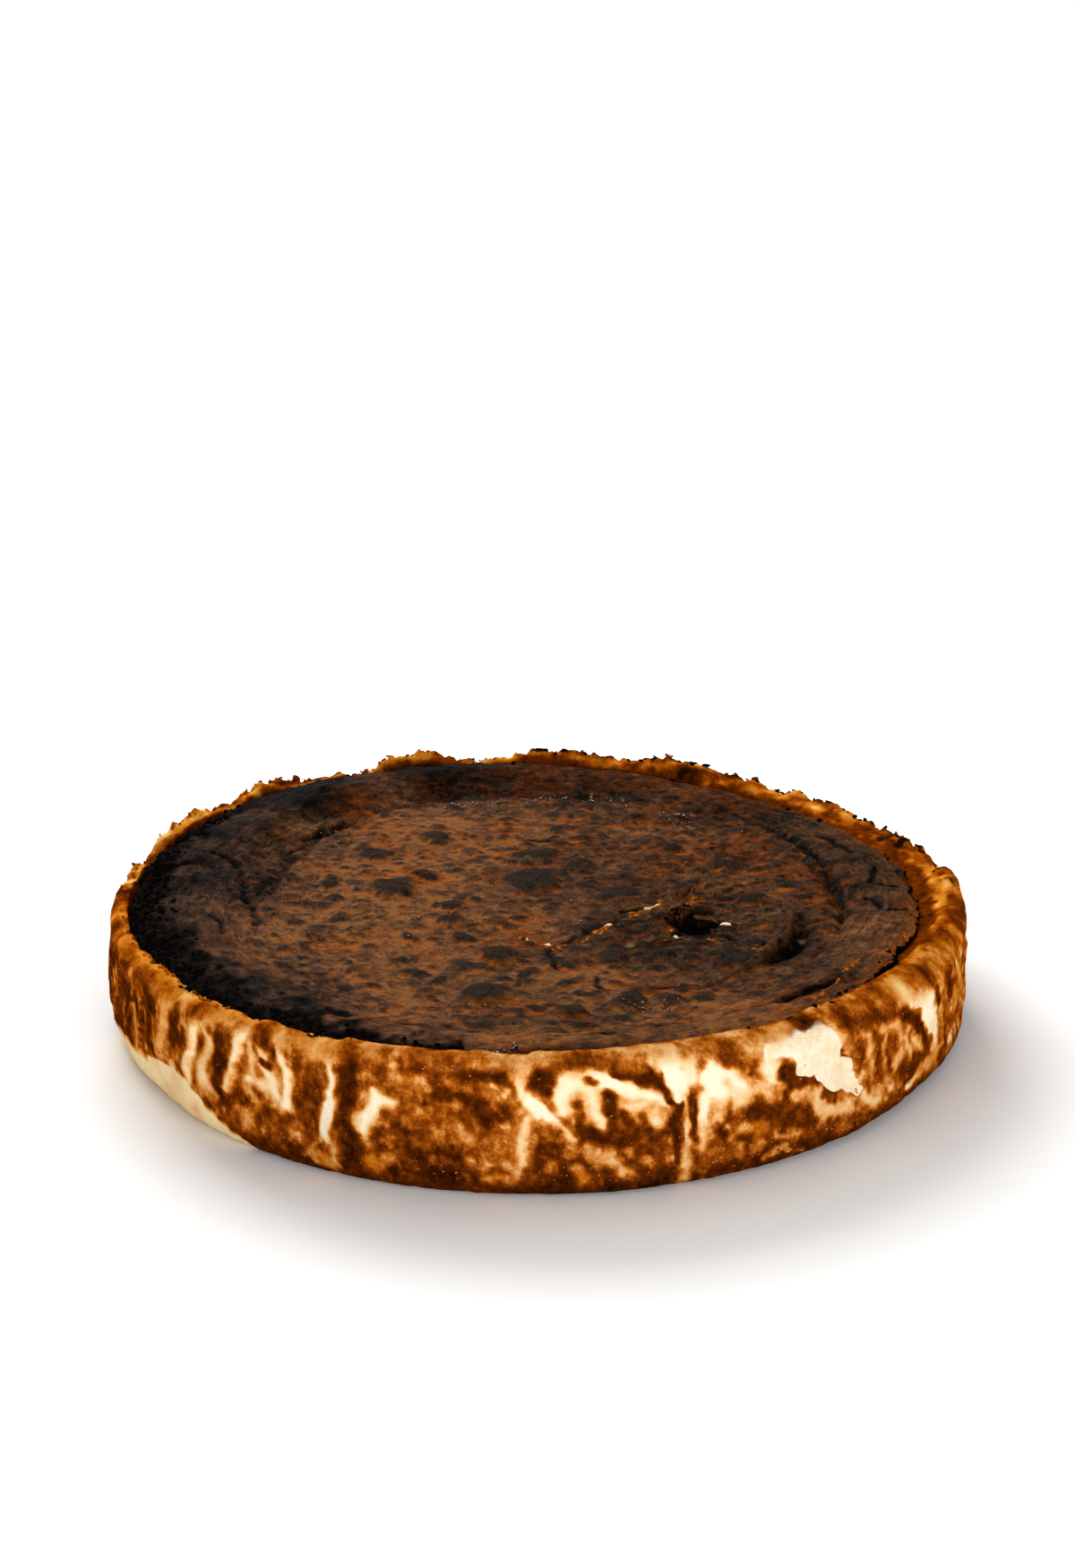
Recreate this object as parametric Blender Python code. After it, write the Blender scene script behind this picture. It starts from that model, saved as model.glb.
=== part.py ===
"""A whole burnt cheesecake, 260 mm across and about 40 mm high, baked in folded paper.

It is one piece with no base layer, so it is one closed solid. Its underside is flat. The side shows
the steps that the folds of the paper left in it. Over the side stands a thin ragged crust, and inside
that lies the dark skin: a raised shoulder round a shallow dish with blisters, cracks, a torn hole and
one thick wrinkle.

Places round the cake are bearings in degrees: 0 is the front at -Y, and 90 the right side at +X.
"""

import bmesh
import bpy
import numpy as np

MM = 0.001

# Driving dimensions
WALL_RADIUS = 129.0 * MM
SEGMENTS = 192
WALL_ROWS = 6
TURN_ROWS = 3
LEDGE_DROP = 1.6 * MM
SKIN_STEP = 0.9 * MM
CREST_SHARE = 0.62
DISH_HALF_WIDTH = 88.0 * MM
DISH_HALF_DEPTH = 101.0 * MM
DISH_CENTRE = (3.0 * MM, 1.0 * MM)
DISH_EDGE_HEIGHT = 36.6 * MM
DISH_FLOOR_HEIGHT = 34.6 * MM

# Sizes in millimetres at every 30 degrees, from the front round by the right side
OUTLINE_SWELL = (0.5, 0.2, -0.4, 0.6, 0.2, 0.5, 0.5, 0.4, 0.6, 0.9, -0.2, -0.6)
BASE_RADIUS = (126.3, 125.0, 122.0, 124.5, 125.0, 124.6, 125.2, 124.8, 125.0, 124.4, 122.4, 125.2)
EDGE_HEIGHT = (4.0, 5.0, 7.0, 6.0, 5.0, 4.5, 5.0, 5.5, 6.0, 9.0, 12.0, 6.0)
RIM_HEIGHT = (40.3, 39.6, 39.0, 39.2, 36.6, 40.2, 42.4, 42.4, 41.9, 38.6, 38.0, 38.8)
RIM_ROUND = (4.5, 8.0, 8.5, 3.2, 1.6, 1.4, 1.4, 1.4, 1.4, 3.0, 6.0, 5.0)
RIM_RAGGED = (0.4, 0.4, 0.7, 1.4, 1.5, 1.6, 1.6, 1.6, 1.6, 1.4, 0.7, 0.4)
SKIN_RADIUS = (122.8, 122.4, 116.6, 115.0, 116.8, 118.6, 124.6, 124.9, 124.9, 124.4, 123.8, 123.6)
SKIN_HEIGHT = (40.0, 40.2, 39.6, 38.8, 37.6, 38.0, 40.6, 43.4, 44.0, 40.4, 38.8, 39.0)

# Breaks and peaks of the crust's rim: bearing, half width in degrees, height change in millimetres
RIM_BREAKS = (
    (94.0, 3.5, 1.8),
    (102.0, 3.5, -1.6),
    (123.0, 3.0, -1.0),
    (141.0, 2.5, -2.0),
    (156.0, 5.0, 1.2),
    (166.0, 3.5, -1.6),
    (188.0, 5.0, -2.4),
    (201.0, 5.0, 2.2),
    (208.0, 3.0, -2.4),
    (216.0, 4.0, -1.4),
    (226.0, 2.5, 2.6),
    (233.0, 2.0, -1.6),
    (254.5, 3.5, -4.2),
    (262.0, 2.5, -1.6),
)

# Steps that the paper's folds left in the side, the higher side on the left of each:
# bearing at the foot and at the top, lowest and highest point, step and reach in millimetres
FOLDS = (
    (-84.0, -79.0, 6.0, 34.0, 0.9, 6.0),
    (-76.5, -69.0, 8.0, 36.0, 1.1, 6.0),
    (-70.0, -63.0, 10.0, 35.0, 1.1, 5.0),
    (-64.0, -61.5, 9.0, 33.0, 1.2, 6.0),
    (-57.5, -54.5, 13.0, 36.0, 1.4, 7.0),
    (-50.5, -47.0, 14.0, 38.0, 1.4, 7.0),
    (-42.0, -38.5, 15.0, 37.0, 1.5, 7.0),
    (-33.0, -30.5, 14.0, 36.0, 0.8, 7.0),
    (-24.8, -24.8, 3.0, 38.0, 2.3, 8.0),
    (-2.8, -1.2, 7.0, 39.0, 1.4, 4.0),
    (8.5, -0.5, 8.0, 25.0, 1.2, 4.0),
    (17.8, 16.4, 3.0, 31.0, 1.6, 3.5),
    (43.5, 38.5, 12.0, 38.0, -1.2, 5.0),
    (65.0, 58.5, 9.0, 39.0, 1.6, 9.0),
    (74.0, 66.0, 12.0, 42.0, 1.2, 6.0),
    (82.0, 79.0, 8.0, 34.0, 1.0, 6.0),
)
HIDDEN_FOLDS = 17
HIDDEN_FOLDS_FROM, HIDDEN_FOLDS_TO = 92.0, 268.0

BLISTER_SWELL = 1.3
# Blisters of the skin: place across and deep, radius and height in millimetres
BLISTERS = (
    (-45.0, 13.0, 8.5, 1.6),
    (-2.0, 19.0, 10.5, 1.4),
    (-52.0, 43.0, 6.5, 1.3),
    (-32.0, 58.0, 5.0, 1.2),
    (0.0, 43.0, 6.5, 1.3),
    (14.0, 33.0, 5.5, 1.2),
    (32.0, 74.0, 4.5, 1.6),
    (42.0, 46.0, 3.5, 1.3),
    (25.0, 7.0, 8.0, 1.1),
    (-37.0, 25.0, 4.2, 1.3),
    (-27.0, 0.0, 3.8, 1.2),
    (-28.0, -15.0, 5.5, 1.4),
    (-23.0, -28.0, 3.8, 1.2),
    (-12.0, -43.0, 6.8, 1.9),
    (-37.0, -58.0, 3.8, 1.1),
    (-15.0, -74.0, 8.5, 1.8),
    (8.0, -87.0, 4.5, 1.3),
    (22.0, -45.0, 6.2, 1.5),
    (35.0, -44.0, 4.2, 1.2),
    (25.0, -82.0, 6.4, 2.0),
    (38.0, -80.0, 4.0, 1.3),
    (57.0, -48.0, 5.0, 1.2),
    (60.0, 30.0, 4.0, 1.1),
    (66.0, 2.0, 4.0, 1.1),
)

# Cracks of the skin: three points of a bow, width and depth in millimetres
CRACKS = (
    ((-84.0, -6.0), (-83.0, 44.0), (-55.0, 80.0), 2.0, 2.2),
    ((80.0, 46.0), (97.0, 4.0), (88.0, -36.0), 2.2, 1.6),
    ((-52.0, -92.0), (2.0, -116.0), (48.0, -100.0), 2.4, 1.3),
    ((20.0, -104.0), (66.0, -100.0), (100.0, -58.0), 2.2, 1.2),
    ((-50.0, 92.0), (0.0, 106.0), (44.0, 90.0), 3.5, 1.2),
)

# The torn hole, and the thick wrinkle with the crease behind it
HOLE_CENTRE = (46.0 * MM, -17.0 * MM)
HOLE_HALF_WIDTH, HOLE_HALF_LENGTH = 8.0 * MM, 9.5 * MM
HOLE_DEPTH = 4.2 * MM
HOLE_LIP = 1.6 * MM
WRINKLE = ((74.0, -4.0), (79.0, -42.0), (48.0, -66.0))
WRINKLE_WIDTH, WRINKLE_HEIGHT = 3.4 * MM, 3.6 * MM
WRINKLE_CREASE_DEPTH = 3.2 * MM
BOW_STEPS = 24

# Rings of the top as shares of the skin's radius, and of the underside as shares of its edge. The
# number of segments halves where a ring is marked.
TOP_RINGS = (
    (0.985, False), (0.955, False), (0.92, False), (0.885, False), (0.85, False), (0.815, False),
    (0.775, True), (0.738, False), (0.70, False), (0.662, False), (0.625, False), (0.588, False),
    (0.55, False), (0.512, False), (0.475, False), (0.438, False), (0.40, True), (0.362, False),
    (0.325, False), (0.287, False), (0.25, False), (0.21, True), (0.165, False), (0.12, False),
    (0.06, True),
)
UNDERSIDE_RINGS = ((0.82, True), (0.62, True), (0.38, True), (0.16, True))

SIDE_COLOUR = (0.34, 0.11, 0.02, 1.0)
SIDE_ROUGHNESS = 0.5
SKIN_COLOUR = (0.075, 0.038, 0.022, 1.0)
SKIN_ROUGHNESS = 0.6


def ease(share):
    """0 below 0 and 1 above 1, with a soft turn at both ends."""
    share = np.clip(share, 0.0, 1.0)
    return share * share * (3.0 - 2.0 * share)


def mix(low, high, share):
    return low + (high - low) * share


def turned(bearing):
    """The bearing brought between -180 and 180 degrees."""
    return (np.asarray(bearing) + 180.0) % 360.0 - 180.0


def around(values, bearing):
    """A smooth closed curve through values in millimetres, spaced evenly round the cake."""
    count = len(values)
    place = (np.asarray(bearing, float) % 360.0) * count / 360.0
    first = np.floor(place).astype(int)
    share = place - first
    table = np.array(values, float) * MM
    before, low, high, after = (table[(first + step) % count] for step in (-1, 0, 1, 2))
    bend = 2.0 * before - 5.0 * low + 4.0 * high - after
    curl = -before + 3.0 * low - 3.0 * high + after
    return low + 0.5 * share * (high - before + share * (bend + share * curl))


def lumps(points, size, seed):
    """Smooth noise from -1 to 1 whose lumps are about size across, read at x, y, z points."""
    cells = 32
    table = np.random.default_rng(seed).uniform(-1.0, 1.0, (cells, cells, cells))
    place = [np.asarray(axis, float) / size for axis in points]
    corner = [np.floor(axis).astype(int) for axis in place]
    share = [ease(axis - low) for axis, low in zip(place, corner)]
    total = 0.0
    for step in range(8):
        offsets = (step & 1, step >> 1 & 1, step >> 2 & 1)
        index = tuple((low + move) % cells for low, move in zip(corner, offsets))
        weight = 1.0
        for part, move in zip(share, offsets):
            weight = weight * (part if move else 1.0 - part)
        total = total + weight * table[index]
    return total


def bow(points, x, y):
    """Signed distance from a bow through three points, plus on its left, and the share along it."""
    start, middle, end = (np.array(point) * MM for point in points)
    share = np.linspace(0.0, 1.0, BOW_STEPS + 1)[:, None]
    line = (1 - share) ** 2 * start + 2 * share * (1 - share) * middle + share**2 * end
    best = np.full(np.shape(x), np.inf)
    side = np.zeros(np.shape(x))
    along = np.zeros(np.shape(x))
    for step in range(BOW_STEPS):
        run = line[step + 1] - line[step]
        from_x, from_y = x - line[step][0], y - line[step][1]
        reach = np.clip((from_x * run[0] + from_y * run[1]) / (run @ run), 0.0, 1.0)
        gap = np.hypot(from_x - reach * run[0], from_y - reach * run[1])
        nearer = gap < best
        best = np.where(nearer, gap, best)
        side = np.where(nearer, np.sign(run[0] * from_y - run[1] * from_x), side)
        along = np.where(nearer, (step + reach) / BOW_STEPS, along)
    return best * side, along


def hidden_folds():
    """Folds of the side that faces away, drawn from a seeded rule like those in front."""
    draw = np.random.default_rng(11)
    pitch = (HIDDEN_FOLDS_TO - HIDDEN_FOLDS_FROM) / HIDDEN_FOLDS
    found = []
    for number in range(HIDDEN_FOLDS):
        foot = HIDDEN_FOLDS_FROM + pitch * (number + draw.uniform(0.1, 0.9))
        top = foot + draw.uniform(-4.0, 4.0)
        low, high = draw.uniform(3.0, 14.0), draw.uniform(30.0, 38.0)
        found.append((foot, top, low, high, draw.uniform(0.8, 1.9), draw.uniform(4.0, 8.0)))
    return tuple(found)


def fold_relief(bearing, height):
    """How far the side stands out at the steps that the paper's folds left."""
    sharp = 0.9 * MM
    fade = 4.0 * MM
    relief = np.zeros(np.broadcast(bearing, height).shape)
    for foot, top, low, high, step, reach in FOLDS + hidden_folds():
        share = (height - low * MM) / ((high - low) * MM)
        arc = np.radians(turned(bearing - mix(foot, top, share))) * WALL_RADIUS
        ends = ease((height - low * MM) / fade) * ease((high * MM - height) / fade)
        rise = np.exp(np.minimum(arc, 0.0) / (reach * MM)) * ease((sharp - arc) / sharp)
        relief = relief + step * MM * ends * rise
    return relief


def circle(radius, bearing):
    """x and y at a radius and bearing."""
    angle = np.radians(bearing)
    return radius * np.sin(angle), -radius * np.cos(angle)


def rim_height(bearing):
    """Height of the crust's ragged rim."""
    height = around(RIM_HEIGHT, bearing)
    for place, half_width, change in RIM_BREAKS:
        height = height + change * MM * np.exp(-((turned(bearing - place) / half_width) ** 4))
    x, y = circle(WALL_RADIUS, bearing)
    crags = lumps((x, y, 0 * x), 9.0 * MM, 3) + 0.8 * lumps((x, y, 0 * x), 4.0 * MM, 4)
    return height + around(RIM_RAGGED, bearing) * 0.7 * crags


def wall_radius(bearing, height):
    """Radius of the side between its two rounded edges."""
    smooth = WALL_RADIUS + around(OUTLINE_SWELL, bearing)
    x, y = circle(smooth, bearing)
    uneven = 0.7 * lumps((x, y, height), 22.0 * MM, 5) + 0.35 * lumps((x, y, height), 9.0 * MM, 6)
    return smooth + uneven * MM + fold_relief(bearing, height)


def lower_edge(bearing, turn):
    """Radius and height on the rounded lower edge, from the underside at 0 to the side at 1."""
    low = around(BASE_RADIUS, bearing)
    tall = around(EDGE_HEIGHT, bearing)
    angle = turn * np.pi / 2
    height = tall * (1.0 - np.cos(angle))
    return mix(low, wall_radius(bearing, height), np.sin(angle)), height


def side(bearing, share):
    """Radius and height on the side, from the lower edge at 0 to the rim at 1."""
    low = around(EDGE_HEIGHT, bearing)
    high = rim_height(bearing) - around(RIM_ROUND, bearing)
    height = mix(low, high, share)
    return wall_radius(bearing, height), height


def rim(bearing, turn):
    """Radius and height over the rim, from the side at 0 to the rim's crest at 1."""
    bend = around(RIM_ROUND, bearing)
    start_radius, start_height = side(bearing, 1.0)
    angle = turn * np.pi / 2
    return start_radius - bend * (1.0 - np.cos(angle)), start_height + bend * np.sin(angle)


def dish_radius(bearing):
    """Radius at which the dish meets the shoulder."""
    x, y = circle(1.0, bearing)
    x_part, y_part = x / DISH_HALF_WIDTH, y / DISH_HALF_DEPTH
    square = x_part**2 + y_part**2
    lean = x_part * DISH_CENTRE[0] / DISH_HALF_WIDTH + y_part * DISH_CENTRE[1] / DISH_HALF_DEPTH
    return (lean + np.sqrt(lean**2 + square)) / square


def shoulder_and_dish(x, y):
    """Height of the skin without its blisters and cracks."""
    bearing = np.degrees(np.arctan2(x, -y))
    radius = np.hypot(x, y)
    dish = dish_radius(bearing)
    skin = around(SKIN_RADIUS, bearing)
    crest = around(SKIN_HEIGHT, bearing)
    inside = mix(DISH_FLOOR_HEIGHT, DISH_EDGE_HEIGHT, np.minimum(radius / dish, 1.0) ** 3)
    share = (radius - dish) / (skin - dish)
    rise = ease(share / CREST_SHARE) * (crest - DISH_EDGE_HEIGHT)
    fall = np.clip((share - CREST_SHARE) / (1.0 - CREST_SHARE), 0.0, 1.0) ** 2 * LEDGE_DROP
    return inside + rise - fall


def blister_relief(x, y):
    """Height of the domed blisters over the skin."""
    ripple = lumps((x, y, 0 * x), 3.5 * MM, 8)
    relief = np.zeros(np.shape(x))
    for across, deep, radius, height in BLISTERS:
        gap = np.hypot(x - across * MM, y - deep * MM) / (radius * MM) + 0.18 * ripple
        relief = np.maximum(relief, BLISTER_SWELL * height * MM * (1.0 - ease(gap)))
    return relief


def crack_relief(x, y):
    """Depth of the cracks in the skin, and of the torn hole with its raised lip."""
    relief = np.zeros(np.shape(x))
    waver = 1.2 * MM * lumps((x, y, 0 * x), 7.0 * MM, 9)
    for start, middle, end, width, depth in CRACKS:
        gap, along = bow((start, middle, end), x, y)
        ends = ease(along * 6.0) * ease((1.0 - along) * 6.0)
        relief = relief - depth * MM * ends * np.exp(-(((gap + waver) / (width * MM)) ** 2))
    across = (x - HOLE_CENTRE[0]) / HOLE_HALF_WIDTH
    deep = (y - HOLE_CENTRE[1]) / HOLE_HALF_LENGTH
    gap = np.hypot(across, deep) + 0.25 * lumps((x, y, 0 * x), 4.0 * MM, 10)
    lip = HOLE_LIP * np.exp(-(((gap - 1.15) / 0.3) ** 2)) * ease((0.9 * deep - across + 0.6) / 1.2)
    return relief + lip - HOLE_DEPTH * ease((1.1 - gap) / 0.5)


def wrinkle_relief(x, y):
    """The thick wrinkle, and the deep crease along its outer side."""
    gap, along = bow(WRINKLE, x, y)
    ends = ease(along * 4.0) * ease((1.0 - along) * 2.2)
    ridge = WRINKLE_HEIGHT * np.exp(-((gap / WRINKLE_WIDTH) ** 2))
    behind = (gap - 1.9 * WRINKLE_WIDTH) / (1.3 * WRINKLE_WIDTH)
    crease = WRINKLE_CREASE_DEPTH * np.exp(-(behind**2)) * ease((1.0 - abs(along - 0.45) * 3.0))
    return ends * ridge - crease


def skin_height(x, y):
    """Height of the dark skin with all that shows on it."""
    rolling = 0.5 * MM * lumps((x, y, 0 * x), 14.0 * MM, 7)
    relief = blister_relief(x, y) + crack_relief(x, y) + wrinkle_relief(x, y)
    return shoulder_and_dish(x, y) + rolling + relief


def skin_edge(bearing):
    """Radius of the skin's broken edge."""
    radius = around(SKIN_RADIUS, bearing)
    x, y = circle(radius, bearing)
    return radius + 1.1 * MM * lumps((x, y, 0 * x), 8.0 * MM, 12)


def ledge(bearing, share):
    """Radius and height on the ledge, from the rim's crest at 0 to the foot of the skin at 1."""
    crest_radius, crest_height = rim(bearing, 1.0)
    foot_radius = skin_edge(bearing) + 0.6 * MM
    foot_height = skin_height(*circle(foot_radius, bearing)) - SKIN_STEP
    x, y = circle(mix(crest_radius, foot_radius, share), bearing)
    swell = 0.6 * MM * np.sin(np.pi * share) * lumps((x, y, 0 * x), 7.0 * MM, 13)
    return (
        mix(crest_radius - 1.2 * MM, foot_radius, share),
        mix(crest_height, foot_height, ease(share)) + swell,
    )


def bearings(count):
    return np.arange(count) * 360.0 / count


def add_ring(mesh, radius, height, bearing):
    """Adds a ring of points and returns them in order."""
    x, y = circle(radius, bearing)
    z = np.broadcast_to(height, x.shape)
    return [mesh.verts.new(point) for point in zip(x, y, z)]


def bridge(mesh, outer, inner, upwards):
    """Joins two rings. The inner one has as many points as the outer, half as many, or one."""
    count = len(outer)
    ratio = count // len(inner)
    for number in range(count):
        near = inner[number // ratio % len(inner)]
        far = inner[(number + 1) // ratio % len(inner)]
        corners = list(dict.fromkeys([outer[number], outer[(number + 1) % count], far, near]))
        mesh.faces.new(corners if upwards else corners[::-1])


def build_side(mesh):
    """Rings from the lower edge up the side and over the rim to the foot of the skin."""
    bearing = bearings(SEGMENTS)
    rings = [lower_edge(bearing, turn / TURN_ROWS) for turn in range(TURN_ROWS + 1)]
    rings += [side(bearing, row / WALL_ROWS) for row in range(1, WALL_ROWS + 1)]
    rings += [rim(bearing, turn / TURN_ROWS) for turn in range(1, TURN_ROWS + 1)]
    rings += [ledge(bearing, share) for share in (0.45, 1.0)]
    made = [add_ring(mesh, radius, height, bearing) for radius, height in rings]
    for lower, upper in zip(made, made[1:]):
        bridge(mesh, lower, upper, upwards=True)
    return made[0], made[-1]


def build_top(mesh, outer):
    """Rings of the skin, from its broken edge to its centre."""
    count = SEGMENTS
    last = outer
    for share, halved in TOP_RINGS:
        count = count // 2 if halved else count
        bearing = bearings(count)
        radius = skin_edge(bearing) * share
        ring = add_ring(mesh, radius, skin_height(*circle(radius, bearing)), bearing)
        bridge(mesh, last, ring, upwards=True)
        last = ring
    centre = mesh.verts.new((0.0, 0.0, float(skin_height(np.zeros(1), np.zeros(1))[0])))
    bridge(mesh, last, [centre], upwards=True)


def build_underside(mesh, outer):
    """The flat underside, with fewer and fewer segments towards its centre."""
    count = SEGMENTS
    last = outer
    for share, halved in UNDERSIDE_RINGS:
        count = count // 2 if halved else count
        bearing = bearings(count)
        ring = add_ring(mesh, around(BASE_RADIUS, bearing) * share, 0.0, bearing)
        bridge(mesh, last, ring, upwards=False)
        last = ring
    bridge(mesh, last, [mesh.verts.new((0.0, 0.0, 0.0))], upwards=False)


def baked_material(name, colour, roughness):
    material = bpy.data.materials.new(name)
    material.use_nodes = True
    shader = material.node_tree.nodes["Principled BSDF"]
    shader.inputs["Base Color"].default_value = colour
    shader.inputs["Roughness"].default_value = roughness
    shader.inputs["Metallic"].default_value = 0.0
    return material


def build_cheesecake():
    shape = bmesh.new()
    underside_edge, skin_foot = build_side(shape)
    side_faces = len(shape.faces)
    build_top(shape, skin_foot)
    top_faces = len(shape.faces)
    build_underside(shape, underside_edge)
    shape.faces.ensure_lookup_table()
    for face in shape.faces[side_faces:top_faces]:
        face.material_index = 1
    bmesh.ops.triangulate(shape, faces=shape.faces[:])
    mesh = bpy.data.meshes.new("cheesecake")
    shape.to_mesh(mesh)
    shape.free()
    mesh.shade_smooth()
    mesh.set_sharp_from_angle(angle=np.radians(50.0))
    mesh.materials.append(baked_material("side_crust", SIDE_COLOUR, SIDE_ROUGHNESS))
    mesh.materials.append(baked_material("burnt_skin", SKIN_COLOUR, SKIN_ROUGHNESS))
    cake = bpy.data.objects.new("cheesecake", mesh)
    bpy.context.scene.collection.objects.link(cake)
    return cake


def main():
    for old in list(bpy.data.objects):
        bpy.data.objects.remove(old)
    build_cheesecake()


if __name__ == "__main__":
    main()
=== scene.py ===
"""The looks of a whole burnt cheesecake: its marbled side and golden rim, its dark blistered skin, and
the flakes, crumbs and beads of caramel on it.

Places round the cake are bearings in degrees: 0 is the front at -Y, and 90 the right side at +X.
A station says how far up the body's outline a point is: 0 to 1 on the side, 2 at the rim's crest, 3 at
the foot of the skin.
"""

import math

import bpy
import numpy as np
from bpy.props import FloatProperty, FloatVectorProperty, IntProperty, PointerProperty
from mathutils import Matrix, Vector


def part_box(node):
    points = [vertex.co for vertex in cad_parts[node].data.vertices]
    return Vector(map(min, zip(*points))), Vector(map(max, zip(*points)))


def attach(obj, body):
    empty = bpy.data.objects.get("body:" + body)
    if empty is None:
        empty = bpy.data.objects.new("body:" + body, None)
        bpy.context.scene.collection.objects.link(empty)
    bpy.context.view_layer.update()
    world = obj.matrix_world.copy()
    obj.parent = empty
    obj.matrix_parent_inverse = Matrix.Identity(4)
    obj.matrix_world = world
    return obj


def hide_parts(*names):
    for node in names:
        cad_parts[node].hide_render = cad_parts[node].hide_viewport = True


bl_info = {
    "name": "Burnt Cheesecake",
    "version": (1, 0, 0),
    "blender": (4, 5, 0),
    "location": "3D View > Sidebar > Cake",
    "description": "Builds a whole burnt cheesecake with its skin, rim, crumbs and caramel",
    "category": "Add Mesh",
}

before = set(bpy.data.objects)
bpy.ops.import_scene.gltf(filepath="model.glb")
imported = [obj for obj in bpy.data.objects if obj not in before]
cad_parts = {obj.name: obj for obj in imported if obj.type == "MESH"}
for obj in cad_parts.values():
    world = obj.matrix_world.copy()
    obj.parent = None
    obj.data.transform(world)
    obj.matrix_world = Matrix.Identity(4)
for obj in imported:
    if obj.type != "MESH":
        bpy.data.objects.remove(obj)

MM = 0.001
NODE = "cheesecake"
LOW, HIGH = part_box(NODE)

# The wall is this much inside the widest place of the frame's box, where its folds stand out
FOLD_ALLOWANCE = 1.66 * MM
WALL_RADIUS = (HIGH.x - LOW.x) / 2 - FOLD_ALLOWANCE
LEDGE_DROP = 1.6 * MM
SKIN_STEP = 0.9 * MM
CREST_SHARE = 0.62
DISH_HALF_WIDTH = 88.0 * MM
DISH_HALF_DEPTH = 101.0 * MM
DISH_CENTRE = (3.0 * MM, 1.0 * MM)
DISH_EDGE_HEIGHT = 36.6 * MM
DISH_FLOOR_HEIGHT = 34.6 * MM
SKIN_REACH = 122.0 * MM
SKIN_UNDERSIDE = DISH_FLOOR_HEIGHT - 8.0 * MM
BODY_FLOOR = DISH_FLOOR_HEIGHT - 9.0 * MM

# Sizes in millimetres at every 30 degrees, from the front round by the right side: how far the wall
# stands out, the foot's radius, the rounded lower edge's height, the rim's height, rounding and
# raggedness, the skin's radius and height, and the gutter's depth inside the rim
OUTLINE_SWELL = (0.5, 0.2, -0.4, 0.6, 0.2, 0.5, 0.5, 0.4, 0.6, 0.9, -0.2, -0.6)
BASE_RADIUS = (126.3, 125.0, 122.0, 124.5, 125.0, 124.6, 125.2, 124.8, 125.0, 124.4, 122.4, 125.2)
EDGE_HEIGHT = (4.0, 5.0, 7.0, 6.0, 5.0, 4.5, 5.0, 5.5, 6.0, 9.0, 12.0, 6.0)
RIM_HEIGHT = (40.3, 39.6, 39.0, 39.2, 36.6, 40.2, 42.4, 42.4, 41.9, 38.6, 38.0, 38.8)
RIM_ROUND = (4.5, 8.0, 8.5, 3.2, 1.6, 1.4, 1.4, 1.4, 1.4, 3.0, 6.0, 5.0)
RIM_RAGGED = (1.0, 0.5, 0.7, 1.4, 1.5, 1.6, 1.6, 1.6, 1.6, 1.7, 1.7, 1.6)
SKIN_RADIUS = (124.2, 123.2, 116.6, 115.0, 116.8, 118.6, 124.2, 123.8, 122.4, 123.2, 123.6, 124.4)
SKIN_HEIGHT = (40.0, 40.2, 39.6, 38.8, 37.6, 38.0, 40.6, 43.0, 43.2, 40.4, 38.8, 39.0)
GUTTER_DEPTH = (0.3, 0.0, 0.0, 0.2, 0.5, 0.8, 0.8, 1.0, 1.4, 2.0, 1.6, 0.8)

# Shares at every 30 degrees: how brown and how amber the rim is, how burnt its tips, how amber the side,
# how orange the skin's edge, how deep the crease round the dish, and how charred the skin's edge
RIM_TONE = (0.47, 0.52, 0.52, 0.50, 0.54, 0.54, 0.54, 0.46, 0.32, 0.47, 0.40, 0.36)
RIM_AMBER = (0.42, 0.55, 0.90, 1.0, 1.0, 1.0, 1.0, 1.0, 1.0, 1.0, 1.0, 0.82)
TIP_BURN = (0.0, 0.0, 0.2, 0.5, 0.62, 0.68, 0.45, 0.15, 0.05, 0.1, 0.05, 0.0)
SIDE_AMBER = (0.25, 0.25, 0.75, 0.95, 0.6, 0.45, 0.45, 0.45, 0.6, 0.9, 0.75, 0.35)
EDGE_GLOW = (0.25, 0.40, 0.75, 0.55, 0.50, 0.35, 0.20, 0.10, 0.0, 0.0, 0.0, 0.15)
CREASE = (0.05, 0.10, 0.30, 0.80, 0.90, 0.35, 0.20, 0.50, 1.0, 1.0, 0.45, 0.15)
CHAR_BAND = (0.48, 0.34, 0.22, 0.16, 0.12, 0.2, 0.4, 0.45, 0.65, 1.0, 1.1, 1.0)

# Breaks and peaks of the crust's rim: bearing, half width in degrees, height change in millimetres
RIM_BREAKS = (
    (94, 3.5, 1.8), (102, 3.5, -1.6), (123, 3, -1), (141, 2.5, -2), (156, 5, 1.2), (166, 3.5, -1.6),
    (188, 5, -2.4), (201, 5, 2.2), (208, 3, -2.4), (216, 4, -1.4), (226, 2.5, 2.6), (233, 2, -1.6),
    (254.5, 3.5, -4.2), (262, 2.5, -1.6),
)

# Steps that the paper's folds left in the side, the higher side on the left of each:
# bearing at the foot and at the top, lowest and highest point, step and reach in millimetres
FOLDS = (
    (-84, -79, 6, 34, 0.9, 6), (-76.5, -69, 8, 36, 1.1, 6), (-70, -63, 10, 35, 1.1, 5),
    (-64, -61.5, 9, 33, 1.2, 6), (-57.5, -54.5, 13, 36, 1.4, 7), (-50.5, -47, 14, 38, 1.4, 7),
    (-42, -38.5, 15, 37, 1.5, 7), (-33, -30.5, 14, 36, 0.8, 7), (-24.8, -24.8, 3, 38, 2.3, 8),
    (-2.8, -1.2, 7, 39, 1.4, 4), (8.5, 0.5, 8, 21, 0.9, 4), (17.8, 16.4, 3, 31, 1.6, 3.5),
    (43.5, 38.5, 12, 38, -1.2, 5), (65, 58.5, 9, 39, 1.6, 9), (74, 66, 12, 42, 1.2, 6), (82, 79, 8, 34, 1, 6),
)
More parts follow.
